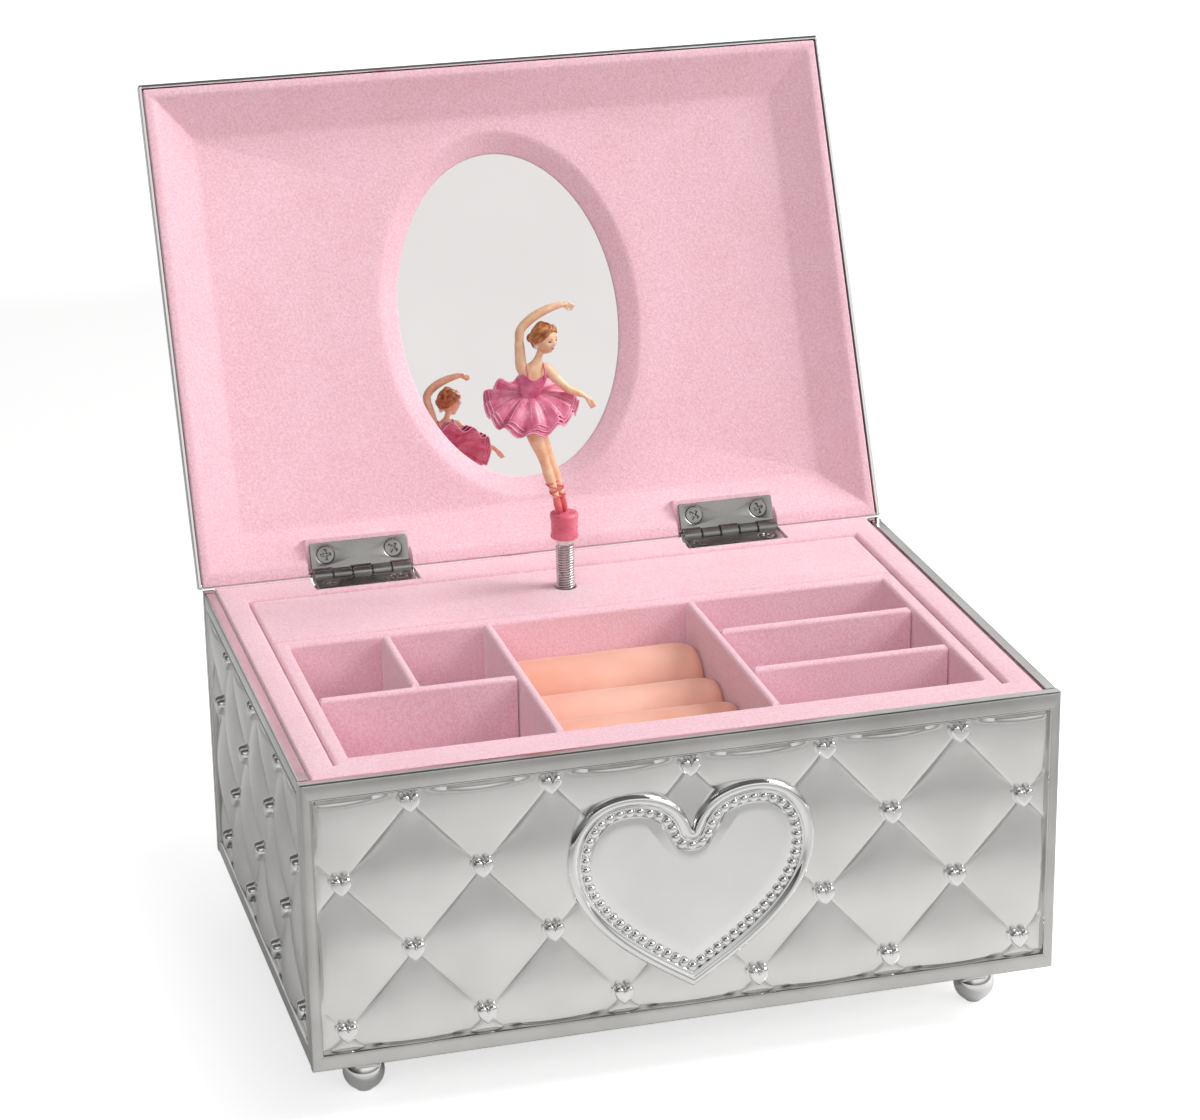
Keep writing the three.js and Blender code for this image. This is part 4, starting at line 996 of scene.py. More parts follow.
def lid_lining():
    """Flocked liner: a narrow rim, wide bevels down to a sunken panel, and the mirror's oval bezel."""
    outer = LID_WALL + GAP

    def rim_level(inset, z):
        x0, x1, y0, _ = lid_rect(outer + inset)
        return rect_ring((x0, x1, y0, -RIM_GAP - inset), z, LID_CORNER, side=LID_SIDE_STEPS)

    back = LID_HEIGHT - LID_TOP_WALL - GAP
    rings = [lid_level(outer, LID_BAND), lid_level(outer, RIM_GAP + REAR_RIM)]
    rings += [rim_level(0, RIM_GAP + REAR_RIM - 0.02)]
    rings += [rim_level(inset, RIM_GAP - drop) for inset, drop in rounding(0.4)]
    slope = (RECESS_DEPTH - RIM_GAP) / (RECESS_INSET - BEVEL_START)
    ease = 0.7
    bevel = [(BEVEL_START - 0.35, RIM_GAP), (BEVEL_START + 0.1, RIM_GAP + 0.12),
             (BEVEL_START + ease, RIM_GAP + ease * slope),
             (RECESS_INSET - ease, RECESS_DEPTH - ease * slope), (RECESS_INSET - 0.1, RECESS_DEPTH - 0.22),
             (RECESS_INSET + 0.7, RECESS_DEPTH)]
    rings += [lid_level(inset, z) for inset, z in bevel]
    like = rings[-1]
    rim = [(3.0, RECESS_DEPTH), (0.9, RECESS_DEPTH), (0.2, RECESS_DEPTH + 0.08),
           (-0.4, RECESS_DEPTH + 0.42)]
    rings += [oval_ring(grown(OVAL_RING, by), z, like) for by, z in rim]
    lip = [(0.5, OVAL_DEPTH - 0.36), (0.12, OVAL_DEPTH - 0.05), (0.0, OVAL_DEPTH + 0.15),
           (0.9, OVAL_DEPTH + 0.16), (0.9, back - 0.3)]
    rings += [oval_ring(grown(OVAL_OPENING, by), z, like) for by, z in lip]
    rings += [lid_level(LID_HIP + outer, back), lid_level(outer + 0.1, LID_BAND + 0.2)]
    liner = piece("lid_liner_flock", loft(rings, closed=True), "lid", FLOCK, matrix=LID,
                  ride=False)
    seats = hinge_blocks(-LEAF_LENGTH - 0.3, 1, -1, LEAF_THICK + SEAT_CLEAR)
    carve(liner, [*seats, *hinge_notches()], LID)
    dress(liner, "lid", ["lid_lining"])
    fall = (back - LID_BAND) / LID_HIP
    for name, x in (("left", -HINGE_X), ("right", HINGE_X)):
        footprint = (x - SEAT_HALF, x + SEAT_HALF, -LEAF_LENGTH - 1.4, -2.4)
        pad = soft_block(footprint, -7.5, -LEAF_THICK - 0.65, 0.4, 0.4)
        pad.points = [(px, py, min(-pz, LID_BAND + (-py - outer - 0.1) * fall)) for px, py,
                      pz in pad.points]
        piece(f"hinge_pad_{name}", pad, "lid", FLOCK, (), LID)


def oval_mirror():
    """Bevelled glass behind the bezel."""
    face = OVAL_DEPTH + 0.3
    reach = grown(OVAL_OPENING, 0.5)
    rings = []
    for by, z in ((0, 1.2), (0, 0.25), (-0.25, 0.0), (-6, 0.0), (-16, 0.0)):
        radii = grown(reach, by)
        rings.append([(radii[0] * math.cos(a), -OVAL_CENTRE + radii[1] * math.sin(a), face + z)
                      for a in np.linspace(0, 2 * math.pi, 128, endpoint=False)])
    piece("oval_mirror_glass", loft(rings), "lid", MIRROR, ["oval_mirror"], LID, sharp=15)


# ---------------------------------------------------------------- hinges


def across(radius, x0, x1, ease=0.12):
    """A rod along the hinge axis with eased ends."""
    profile = [(0, x0), (radius - ease, x0), (radius, x0 + ease), (radius, x1 - ease), (radius - ease, x1),
               (0, x1)]
    shape = Shape()
    return shape.join(lathe(profile, 32), Matrix.Rotation(math.pi / 2, 4, "Y"))


def hinge_leaf(side):
    half = LEAF_WIDTH / 2
    low = RIM_GAP if side > 0 else -RIM_GAP - LEAF_THICK
    plate = Shape()
    rect = (-half, half, -LEAF_LENGTH, 0)
    rings = [rect_ring(shrink(rect, 0.12), low, 0.5), rect_ring(rect, low + 0.12, 0.6),
             rect_ring(rect, low + LEAF_THICK - 0.12, 0.6),
             rect_ring(shrink(rect, 0.12), low + LEAF_THICK, 0.5)]
    return plate.join(loft(rings))


def knuckle_spans(side):
    pitch = LEAF_WIDTH / KNUCKLES
    for i in range(KNUCKLES):
        own = (i % 2 == 0) == (side < 0)
        yield own, -LEAF_WIDTH / 2 + i * pitch, -LEAF_WIDTH / 2 + (i + 1) * pitch


def cross_screw():
    """A countersunk screw's domed head with a cross recess, its face at z = 0."""
    count, reach = 64, 2.0
    rings = []
    for step in range(13):
        radius = reach * (1 - step / 12.5)
        ring = []
        for i in range(count):
            angle = 2 * math.pi * i / count
            x, y = radius * math.cos(angle), radius * math.sin(angle)
            dome = 0.12 * (1 - (radius / reach) ** 2)
            arm = min(abs(x), abs(y))
            far = max(abs(x), abs(y))
            depth = 0.0
            if arm < 0.3 and far < 1.25:
                depth = 0.55 * min(1, (0.3 - arm) / 0.1) * min(1, (1.25 - far) / 0.15)
            ring.append((x, y, dome - depth))
        rings.append(ring)
    body = [circle_ring(r, z, count) for r, z in ((0.4, -5), (0.9, -4), (0.9, -1.1), (1.0, -1.0),
                                                  (reach, -0.06))]
    return loft([*body, *rings])


SINK = ((2.5, -0.05), (2.15, 0.12), (1.3, 1.1))  # radius and depth of a screw's countersink


def hinges():
    for name, x in (("left", -HINGE_X), ("right", HINGE_X)):
        for side, part, base in ((1, "lid", LID), (-1, "case",
                                                   BOX @ Matrix.Translation((0, HINGE_Y, HINGE_Z)))):
            place = base @ Matrix.Translation((x, 0, 0))
            face = RIM_GAP if side > 0 else -RIM_GAP
            leaf = piece(f"hinge_leaf_{part}_{name}_plate", hinge_leaf(side), part, NICKEL,
                         matrix=place, ride=False)
            tools = []
            for own, x0, x1 in knuckle_spans(side):
                if not own:
                    tools.append(block(x0 - 0.12, x1 + 0.12, -KNUCKLE_RADIUS - 0.3, 1, -3, 3))
            for dx in (-SCREW_PITCH / 2, SCREW_PITCH / 2):
                tools.append(loft([circle_ring(r, face + side * z, 40, (dx, -SCREW_SETBACK)) for r,
                                   z in SINK]))
            carve(leaf, tools, place)
            dress(leaf, part, [f"hinge_leaf_{part}_{name}"])
            knuckles = Shape()
            for own, x0, x1 in knuckle_spans(side):
                if own:
                    knuckles.join(across(KNUCKLE_RADIUS, x0 + 0.15, x1 - 0.15))
            piece(f"hinge_knuckles_{part}_{name}", knuckles, part, NICKEL, (), place)
            for k, dx in enumerate((-SCREW_PITCH / 2, SCREW_PITCH / 2)):
                node = f"hinge_screw_{part}_{name}_{k + 1}"
                turn = Matrix.Rotation(math.pi if side > 0 else 0, 4, "X")
                twist = Matrix.Rotation(0.5 + 0.9 * k + x * 0.01, 4, "Z")
                spot = place @ Matrix.Translation((dx, -SCREW_SETBACK, face)) @ turn @ twist
                piece(f"{node}_cross", cross_screw(), part, NICKEL, [node], spot, sharp=30)
        pin = across(0.7, -LEAF_WIDTH / 2, LEAF_WIDTH / 2)
        pin.join(across(1.1, LEAF_WIDTH / 2, LEAF_WIDTH / 2 + 0.5))
        place = BOX @ Matrix.Translation((x, HINGE_Y, HINGE_Z))
        piece(f"hinge_pin_{name}_rod", pin, "case", NICKEL, [f"hinge_pin_{name}"], place)


# ---------------------------------------------------------------- spring neck and cup


def neck_spring():
    """A close-wound coil from the deck to the cup."""
    low, high = neck_low.z + WIRE_RADIUS, neck_high.z - WIRE_RADIUS
    turns = round((high - low) / COIL_PITCH)
    steps = turns * 22
    reach = NECK_RADIUS - WIRE_RADIUS
    path = [
        (SPINDLE_X + reach * math.cos(2 * math.pi * turns * i / steps),
         Y_BOX + SPINDLE_Y + reach * math.sin(2 * math.pi * turns * i / steps),
         low + (high - low) * i / steps)
        for i in range(steps + 1)
    ]
    coil = piece("neck_coil", rod(path, [WIRE_RADIUS] * len(path), 10), None, SPRING_STEEL,
                 matrix=Matrix.Identity(4), sharp=80, ride=False)
    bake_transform(coil)
    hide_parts("neck_spring")


def figure_cup():
    """Moulded cup with a rolled lip, standing on the spring."""
    radius = (cup_high.x - cup_low.x) / 2
    height = cup_high.z - cup_low.z - COLLAR_HEIGHT
    profile = [(0, -height), (radius - 0.7, -height), (radius - 0.2, -height + 0.15),
               (radius - 0.05, -height + 0.6), (radius - 0.3, -height + 1.6), (radius - 0.2, -3.2),
               (radius - 0.22, -2.2), (radius - 0.02, -1.1), (radius, -0.6), (radius - 0.15, -0.18),
               (radius - 0.55, -0.02), (radius - 1.2, -0.12), (0, -0.1)]
    piece("cup_moulding", lathe(profile, 56), "figure", CUP, ["figure_cup"], FIGURE,
          sharp=60)
    collar = [(0, -height - COLLAR_HEIGHT), (1.8, -height - COLLAR_HEIGHT),
              (2.0, -height - COLLAR_HEIGHT + 0.2), (1.92, -height - 0.5), (1.98, -height + 0.1),
              (0, -height + 0.1)]
    piece("cup_collar", lathe(collar, 40), "figure", WHITE, (), FIGURE, sharp=60)


# ---------------------------------------------------------------- the dancer

TORSO = [  # z, centre x, half width, half depth
    (22.6, -7.2, 2.3, 1.8),
    (24.5, -7.4, 2.8, 2.1),
    (26.6, -7.7, 2.6, 1.9),
    (28.9, -7.9, 2.25, 1.65),
    (31.0, -7.5, 2.7, 1.9),
    (33.2, -7.0, 3.1, 2.2),
    (35.0, -6.7, 3.2, 2.0),
    (36.4, -6.5, 2.95, 1.5),
    (37.4, -6.1, 1.7, 1.1),
    (38.4, -5.6, 1.0, 0.95),
    (40.6, -4.6, 0.9, 0.9),
]
HEAD = Vector((-4.1, -0.3, 43.1))
FACE = Vector((0.57, -0.82, -0.04)).normalized()
FACE_SIDE = FACE.cross(Vector((0, 0, 1))).normalized()
FACE_UP = FACE_SIDE.cross(FACE).normalized()
SKULL = (2.9, 3.15, 3.6)


def torso_rings(grow, low, high, count=40):
    """Sections of the body; high may change round the body, as a neckline does."""
    levels = [t for t in spline(TORSO, 5) if low <= t[0]]
    rings = []
    for z, x, wide, deep in levels:
        ring = []
        for i in range(count):
            angle = 2 * math.pi * i / count
            limit = high(angle)
            at = min(z, limit)
            row = min(levels, key=lambda t: abs(t[0] - at)) if z > limit else (z, x, wide, deep)
            ring.append((row[1] + (row[2] + grow) * math.cos(angle), (row[3] + grow) * math.sin(angle), at))
        rings.append(ring)
    return rings


def hand(wrist, palm, fingers, thumb):
    """A relaxed hand: a flat palm, four fingers fanned a little and a thumb."""
    wrist, palm, fingers, thumb = (Vector(v) for v in (wrist, palm, fingers, thumb))
    shape = rod([wrist, wrist.lerp(palm, 0.5), palm], [0.62, 0.78, 0.7], 12, 0.65)
    way = fingers - palm
    spread = way.cross(Vector((0, 1, 0))).normalized() if abs(way.normalized().y) < 0.9 else Vector((0, 0,
                                                                                                     1))
    for k, share in enumerate((-0.42, -0.14, 0.14, 0.42)):
        root = palm + spread * share * 1.1
        tip = fingers + spread * share * 1.6 + Vector((0, -0.12 * k, 0))
        bend = root.lerp(tip, 0.55) + Vector((0, -0.1, 0.12))
        shape.join(limb([(*root, 0.28), (*bend, 0.25), (*tip, 0.17)], 8, steps=3))
    shape.join(limb([(*wrist.lerp(palm, 0.4), 0.28), (*thumb, 0.19)], 8, steps=3))
    return shape


def dancer_skin():
    shape = loft(torso_rings(0, 22.6, lambda a: 99))
    shape.join(limb([(-8.1, -0.5, 24.6, 2.0), (-6.9, -0.6, 19.5, 1.75), (-5.3, -0.6, 15.2, 1.35),
                     (-4.5, -0.6, 12.6, 1.15), (-3.7, -0.6, 9.6, 1.25), (-2.6, -0.6, 6.2, 0.95),
                     (-1.8, -0.6, 3.0, 0.7), (-1.5, -0.65, 0.7, 0.5)], 18))
    shape.join(limb([(-6.7, 0.7, 24.6, 1.95), (-5.0, 0.9, 19.0, 1.7), (-3.4, 1.0, 14.6, 1.35),
                     (-2.6, 1.0, 12.4, 1.15), (-1.7, 0.95, 9.2, 1.2), (-0.9, 0.85, 5.8, 0.95),
                     (-0.2, 0.75, 3.0, 0.7), (0.1, 0.7, 0.8, 0.5)], 18))
    shape.join(limb([(-8.8, 0, 35.4, 1.45), (-9.6, 0, 37.0, 1.4), (-9.8, 0.1, 40.2, 1.25),
                     (-9.9, 0.2, 43.8, 1.08), (-9.3, 0.15, 46.0, 1.08), (-6.7, 0, 48.4, 1.1),
                     (-3.2, -0.2, 50.1, 0.98), (-0.2, -0.3, 50.9, 0.75)], 16))
    shape.join(hand((-0.4, -0.3, 50.8), (1.0, -0.4, 51.0), (2.9, -0.5, 50.0), (2.0, -0.9, 49.5)))
    shape.join(limb([(-4.6, 0, 35.5, 1.4), (-3.6, -0.1, 35.8, 1.35), (-1.8, -0.5, 33.8, 1.25),
                     (0.2, -1.0, 31.7, 1.05), (1.5, -1.2, 30.6, 1.05), (3.4, -1.5, 29.7, 0.88),
                     (4.9, -1.6, 28.9, 0.62)], 16))
    shape.join(hand((4.8, -1.6, 29.0), (5.9, -1.7, 28.0), (7.1, -1.9, 25.9), (6.0, -2.2, 26.6)))
    skin = piece("dancer_skin", shape, None, SKIN, matrix=FIGURE, ride=False)
    melt(skin, 0.17, 5)
    dress(skin, "figure", ["ballerina_body"])


def painted_piece(name, shape, finish):
    """A small painted part of the dancer, riding on the figure."""
    piece(name, shape, "figure", finish, (), FIGURE, sharp=80)


def on_head(azimuth, elevation, lift=0.0):
    """A point on the head; azimuth 0 is the middle of the face, positive to the dancer's left."""
    a, e = math.radians(azimuth), math.radians(elevation)
    side, ahead, rise = math.sin(a) * math.cos(e), math.cos(a) * math.cos(e), math.sin(e)
    reach = 1 / math.sqrt((side / SKULL[0]) ** 2 + (ahead / SKULL[1]) ** 2 + (rise / SKULL[2]) ** 2)
    front = max(ahead, 0)
    below = max(-rise, 0)
    reach *= 1 - 0.30 * below ** 1.6 * abs(side) - 0.05 * below * front

    def dab(height, at_a, at_e, wide, tall):
        return height * math.exp(-((azimuth - at_a) / wide) ** 2 - ((elevation - at_e) / tall) ** 2)

    reach += dab(0.42, 0, -13, 6.5, 6) + dab(0.22, 0, -3, 5, 9)
    reach += dab(0.12, 0, -29, 9, 2.6) + dab(0.13, 0, -34.5, 8, 2.8) + dab(0.28, 0, -50, 12, 8)
    for turn in (-1, 1):
        reach += dab(-0.2, 21 * turn, 1, 9, 7) + dab(0.09, 21 * turn, 0.5, 5, 3)
        reach += dab(0.1, 34 * turn, -19, 14, 10) + dab(0.07, 20 * turn, 12, 12, 4)
    reach += lift
    return HEAD + FACE_SIDE * -(side * reach) + FACE * (ahead * reach) + FACE_UP * (rise * reach)


def head_surface(reach):
    """The head's closed surface, reach(azimuth, elevation) being how far it stands out."""
    rings = []
    for j in range(1, 80):
        elevation = -90 + 180 * j / 80
        rings.append([on_head(-180 + 360 * i / 120, elevation, reach(-180 + 360 * i / 120, elevation))
                      for i in range(120)])
    return loft(rings)


def hair_share(azimuth, elevation):
    """How far a direction lies behind the hairline."""
    a, e = math.radians(azimuth), math.radians(elevation)
    ahead, rise = math.cos(a) * math.cos(e), math.sin(e)
    return -0.75 * ahead + 0.66 * rise + 0.13


def strand(points, lift, radius, wave=0.0):
    path = spline(points, 7)
    count = len(path) - 1
    line = []
    for k, (a, e) in enumerate(path):
        arch = lift * math.sin(math.pi * min(1, 0.15 + k / count))
        line.append(on_head(a, e, arch + wave * math.sin(9 * k / count)))
    radii = []
    for k in range(count + 1):
        share = min(0.9, 0.12 + 0.85 * k / count)
        radii.append(radius * (0.45 + 0.55 * math.sin(math.pi * share)))
    return rod(line, radii, 8)


def dancer_head():
    painted_piece("dancer_head", head_surface(lambda a, e: 0.0), SKIN)

    def cap(a, e):
        share = hair_share(a, e)
        groove = 0.05 * math.sin(a * 0.55 + e * 0.3)
        return max(-0.4, min(0.3, share * 3.0)) + (groove if share > 0 else 0)

    hair = head_surface(cap)
    for k in range(34):
        turn = -1 if k % 2 else 1
        start = 4 + 5.0 * (k // 2)
        rise = 44 - 0.0058 * start ** 2 + 3 * math.sin(k * 1.7)
        hair.join(strand([(turn * start, rise), (turn * (start + 35), rise + 14 - start * 0.12),
                          (turn * (start * 0.6 + 78), 18 - start * 0.1), (turn * 150, -8 - 3 * math.sin(k)),
                          (turn * 178, -14)], 0.34, 0.36, 0.04))
    for k in range(12):
        hair.join(strand([(14 + k * 1.6, 62 + k * 2), (-12 - k * 3, 52 - 2 * k),
                          (-48 - 3 * k, 22 - k * 1.5), (-84 - k * 3, -2 + k * 1.6), (-128, -12 + k * 2)],
                          0.46, 0.38, 0.06))
    for k in range(9):
        hair.join(strand([(150 - k * 4, 80 - k * 3), (165, 50 - 3 * k), (176, 18 - 2 * k), (180, -12)], 0.4,
                         0.42, 0.03))
    knot = []
    for t in np.linspace(0, 4 * math.pi, 44):
        over = 0.75 + 0.25 * math.cos(2 * t)
        knot.append(on_head(180, -8 + 13 * math.sin(t), over) + FACE_SIDE * (0.85 * math.cos(t)))
    hair.join(rod(knot, [0.42] * len(knot), 10))
    painted_piece("dancer_hair", hair, HAIR)
    ears = Shape()
    for turn in (-1, 1):
        rim = [on_head(turn * (92 + 6 * math.sin(t)), -12 + 10 * math.cos(t),
                       0.18) for t in np.linspace(0.3, 3.2, 14)]
        ears.join(rod(rim, [0.22] * len(rim), 8))
    painted_piece("dancer_ears", ears, SKIN)
    pearls = Shape()
    for turn in (-1, 1):
        centre = on_head(turn * 88, -25, 0.35)
        pearls.join(rod([centre - Vector((0, 0, 0.12)), centre + Vector((0, 0, 0.12))], [0.46, 0.46], 16))
    painted_piece("dancer_earrings", pearls, WHITE)
    ink, lips = Shape(), Shape()
    for turn in (-1, 1):
        lash = [on_head(turn * (13 + 16 * t), 0.5 + 3.2 * math.sin(math.pi * t),
                        0.03) for t in np.linspace(0, 1, 12)]
        ink.join(rod(lash, [0.05 + 0.07 * math.sin(math.pi * k / 11) for k in range(12)], 8))
        iris = [on_head(turn * 20.5, 1.2, 0.0), on_head(turn * 22.5, 1.2, 0.0)]
        ink.join(rod(iris, [0.17, 0.17], 10))
    for at, width, size in ((-29.5, 9, 0.13), (-33.5, 7.5, 0.16)):
        line = [on_head(width * t, at + 0.8 * abs(t), 0.05) for t in np.linspace(-1, 1, 12)]
        lips.join(rod(line, [size * math.sqrt(max(0.05, 1 - t * t)) for t in np.linspace(-1, 1, 12)], 8))
    painted_piece("dancer_eyes", ink, INK)
    painted_piece("dancer_lips", lips, LIPS)
    brows = Shape()
    for turn in (-1, 1):
        line = [on_head(turn * (11 + 19 * t), 11 + 3.5 * math.sin(math.pi * (0.2 + 0.7 * t)),
                        0.02) for t in np.linspace(0, 1, 10)]
        brows.join(rod(line, [0.09 - 0.05 * k / 9 for k in range(10)], 6))
    painted_piece("dancer_brows", brows, HAIR)


def dancer_dress():
    """Bodice with a scooped neckline, straps, shoes and ankle ribbons."""

    def neckline(angle):
        front = max(0.0, -math.sin(angle))
        back = max(0.0, math.sin(angle))
        side = abs(math.cos(angle))
        rise = 34.3 + 1.2 * side ** 2 - 0.6 * front ** 3 - 1.4 * back ** 3
        return rise + 0.4 * abs(math.cos(angle + 0.2)) * front

    bodice = loft(torso_rings(0.22, 23.0, neckline, 64))
    piece("dancer_bodice", bodice, "figure", BODICE, (), FIGURE)
    straps = Shape()
    for x, lean in ((-8.8, 0.2), (-4.7, 0.15)):
        straps.join(limb([(x + 0.1, -1.95, 33.8, 0.2), (x + lean, -2.0, 35.2, 0.19),
                          (x + lean, -1.4, 36.7, 0.19), (x + lean, 0, 37.3, 0.19),
                          (x + lean, 1.35, 36.5, 0.19), (x + 0.1, 2.0, 34.0, 0.2)], 8))
    edge = []
    sections = spline(TORSO, 5)
    for i in range(73):
        angle = 2 * math.pi * i / 72
        z = neckline(angle)
        row = min(sections, key=lambda t: abs(t[0] - z))
        edge.append((row[1] + (row[2] + 0.25) * math.cos(angle), (row[3] + 0.25) * math.sin(angle), z))
    straps.join(rod(edge, [0.15] * len(edge), 8))
    waist = []
    for i in range(61):
        angle = 2 * math.pi * i / 60
        waist.append((-7.9 + 2.4 * math.cos(angle), 1.85 * math.sin(angle),
                      29.0 + 0.15 * math.sin(3 * angle)))
    straps.join(rod(waist, [0.2] * len(waist), 8))
    painted_piece("dancer_straps", straps, BODICE)
    shoes = Shape()
    shoes.join(limb([(-2.0, -0.6, 4.0, 0.85), (-1.75, -0.75, 2.4, 0.95), (-1.5, -0.95, 1.1, 0.82),
                     (-1.4, -0.8, 0.4, 0.5)], 16))
    shoes.join(limb([(-0.4, 0.75, 4.0, 0.83), (-0.1, 0.6, 2.4, 0.93), (0.2, 0.3, 1.1, 0.8),
                     (0.25, 0.3, 0.4, 0.5)], 16))
    painted_piece("dancer_shoes", shoes, RIBBON)
    ribbons = Shape()
    legs = (((-2.0, -0.6, 4.2), (-3.1, -0.6, 8.0), 0.92, 1.18),
            ((-0.4, 0.75, 4.2), (-1.4, 0.9, 8.0), 0.92, 1.18))
    for low, high, r0, r1 in legs:
        low, high = Vector(low), Vector(high)
        for turn in (-1, 1):
            line = []
            for k in range(49):
                t = k / 48
                angle = turn * 2 * math.pi * 1.75 * t
                centre = low.lerp(high, t)
                reach = r0 + (r1 - r0) * t
                line.append(centre + Vector((reach * math.cos(angle), reach * math.sin(angle), 0)))
            ribbons.join(rod(line, [0.34] * len(line), 8, 0.5))
    painted_piece("dancer_ribbons", ribbons, RIBBON)


TUTU_CENTRE = Vector((-7.7, 0, 30.0))
TUTU_HALF = (11.0, 7.2)
TUTU_TILT = math.tan(math.radians(32))
PLEATS = 12


def tutu_point(angle, share, reach, drop, lift=0.0):
    """A point of one layer of the skirt: share 0 at the waist, 1 at the hem."""
    phase = PLEATS * angle + 0.9 * math.sin(2 * angle)
    fold = math.cos(phase + drop)
    deep = share ** 1.5
    scallop = 1 + deep * (0.055 * abs(math.cos(phase / 2 + 0.4)) - 0.03)
    side = 1 + 0.05 * math.sin(3 * angle + 1)
    spread = reach * scallop * side * (0.17 + 0.83 * share)
    x = TUTU_HALF[0] * spread * math.cos(angle)
    y = TUTU_HALF[1] * spread * math.sin(angle)
    sag = 1.9 * share ** 2 + drop * (0.35 + 0.65 * share)
    z = (TUTU_TILT * y * (0.4 + 0.6 * share) - sag + 0.85 * fold * deep
         + 0.12 * math.sin(5 * angle) * share + lift)
    return TUTU_CENTRE + Vector((x, y, z))


def tutu_skirt():
    """Three pleated layers with scalloped hems, each lower one a little longer."""
    skirt, hems_and_pleat_highlights = Shape(), Shape()
    around, out = 288, 18
    for reach, drop in ((0.9, 0.0), (0.955, 0.6), (1.0, 1.2)):
        angles = [2 * math.pi * i / around for i in range(around)]
        rings = [[tutu_point(a, j / out, reach, drop, 0.09) for a in angles] for j in range(out + 1)]
        rings += [[tutu_point(a, j / out, reach, drop, -0.09) for a in angles] for j in range(out, -1, -1)]
        skirt.join(loft(rings, closed=True))
        edge = [tutu_point(a, 1, reach, drop) for a in [*angles, 0.0]]
        hems_and_pleat_highlights.join(rod(edge, [0.17] * len(edge), 8))
    # Thin lighter lines down the pleats of the top layer, in the hem colour: painted highlights standing in
    # for light catching the pleats.
    for i in range(PLEATS * 2):
        angle = 2 * math.pi * (i + 0.5) / (PLEATS * 2)
        line = [tutu_point(angle, t, 0.9, 0.0, 0.09) for t in np.linspace(0.12, 0.97, 12)]
        hems_and_pleat_highlights.join(rod(line, [0.05 + 0.04 * t for t in np.linspace(0, 1, 12)], 6))
    piece("tutu_layers", skirt, "figure", TUTU, ["tutu_skirt"], FIGURE, sharp=60)
    painted_piece("tutu_hems", hems_and_pleat_highlights, HEM_AND_PLEAT_HIGHLIGHT)


# ---------------------------------------------------------------- winding key and carried-over CAD


def winding_key():
    """A butterfly key: eased wings with an eye in each, and a turned hub on the arbor."""
    place = Matrix.Translation((SPINDLE_X, box_mm("winding_key")[0].y, KEY_AXIS_Z))
    centre_y = 10.0
    wings = []
    half = 0.8
    for inset, z in ((0.5, -half), (0.15, -half + 0.12), (0, -half + 0.4), (0, half - 0.4),
                     (0.15, half - 0.12), (0.5, half)):
        wings.append([((10 - inset) * math.cos(a), centre_y + (5.2 - inset) * math.sin(a), z)
                      for a in np.linspace(0, 2 * math.pi, 96, endpoint=False)])
    plate = piece("key_wings", loft(wings), None, POLISHED, matrix=place, ride=False)
    eyes = []
    for side in (-1, 1):
        eyes.append(loft([circle_ring(2.2, z, 48, (side * 5.8, centre_y + 0.6), 1.09) for z in (-2, 2)]))
    carve(plate, eyes, place)
    dress(plate, "key_train", ["winding_key"])
    profile = [(1.8, 0.05), (2.5, 0.05), (2.9, 0.4), (2.9, 1.5), (2.6, 1.8), (2.6, 2.3), (2.9, 2.6),
               (2.9, 5.4), (2.6, 6.0), (1.8, 6.3), (1.8, 0.05)]
    hub = Shape().join(lathe(profile, 48), Matrix.Rotation(-math.pi / 2, 4, "X"))
    piece("key_hub", hub, "key_train", POLISHED, (), place)


CARRIED = {
    "base_plate": SILVER,
    "movement_bedplate": STEEL,
    "comb": STEEL,
    "comb_screw_1": STEEL,
    "comb_screw_2": STEEL,
    "spring_barrel": STEEL,
    "mainspring": SPRING_STEEL,
    "spindle_bush": BRASS,
    "winding_stem": STEEL,
    "great_wheel": BRASS,
    "cylinder": BRASS,
    "spindle_shaft": SPRING_STEEL,
    "governor_fan": BRASS,
}


def carried_over():
    for node, finish in CARRIED.items():
        mesh = bpy.data.objects[node].data
        mesh.materials.clear()
        mesh.materials.append(finish)


# ---------------------------------------------------------------- studio

CAMERA_AT = Vector((-203.64, -766.36, 384.23)) * MM
CAMERA_AIM = Vector((0.703, -29.33, 89.40)) * MM
CAMERA_ROLL = math.radians(-0.783)
LENS = 108.04
SHIFT = (-0.0146, 0.0336)
FLOOR_GLOW = 0.62


def camera():
    ahead = (CAMERA_AIM - CAMERA_AT).normalized()
    right = ahead.cross(Vector((0, 0, 1))).normalized()
    up = right.cross(ahead)
    x_axis = right * math.cos(CAMERA_ROLL) + up * math.sin(CAMERA_ROLL)
    y_axis = up * math.cos(CAMERA_ROLL) - right * math.sin(CAMERA_ROLL)
    data = bpy.data.cameras.new("camera")
    data.lens = LENS
    data.sensor_width = 36
    data.shift_x, data.shift_y = SHIFT
    data.clip_start, data.clip_end = 0.01, 30
    obj = add_object("camera", data)
    turn = Matrix((x_axis, y_axis, -ahead)).transposed().to_4x4()
    obj.matrix_world = Matrix.Translation(CAMERA_AT) @ turn
    bpy.context.scene.camera = obj


def softbox(name, at, aim, size, power, colour=(1, 1, 1)):
    data = bpy.data.lights.new(name, "AREA")
    data.shape = "RECTANGLE"
    data.size, data.size_y = size
    data.energy = power
    data.color = colour
    obj = add_object(name, data)
    way = (Vector(aim) - Vector(at)).normalized()
    obj.matrix_world = Matrix.Translation(at) @ way.to_track_quat("-Z", "Y").to_matrix().to_4x4()
    return obj


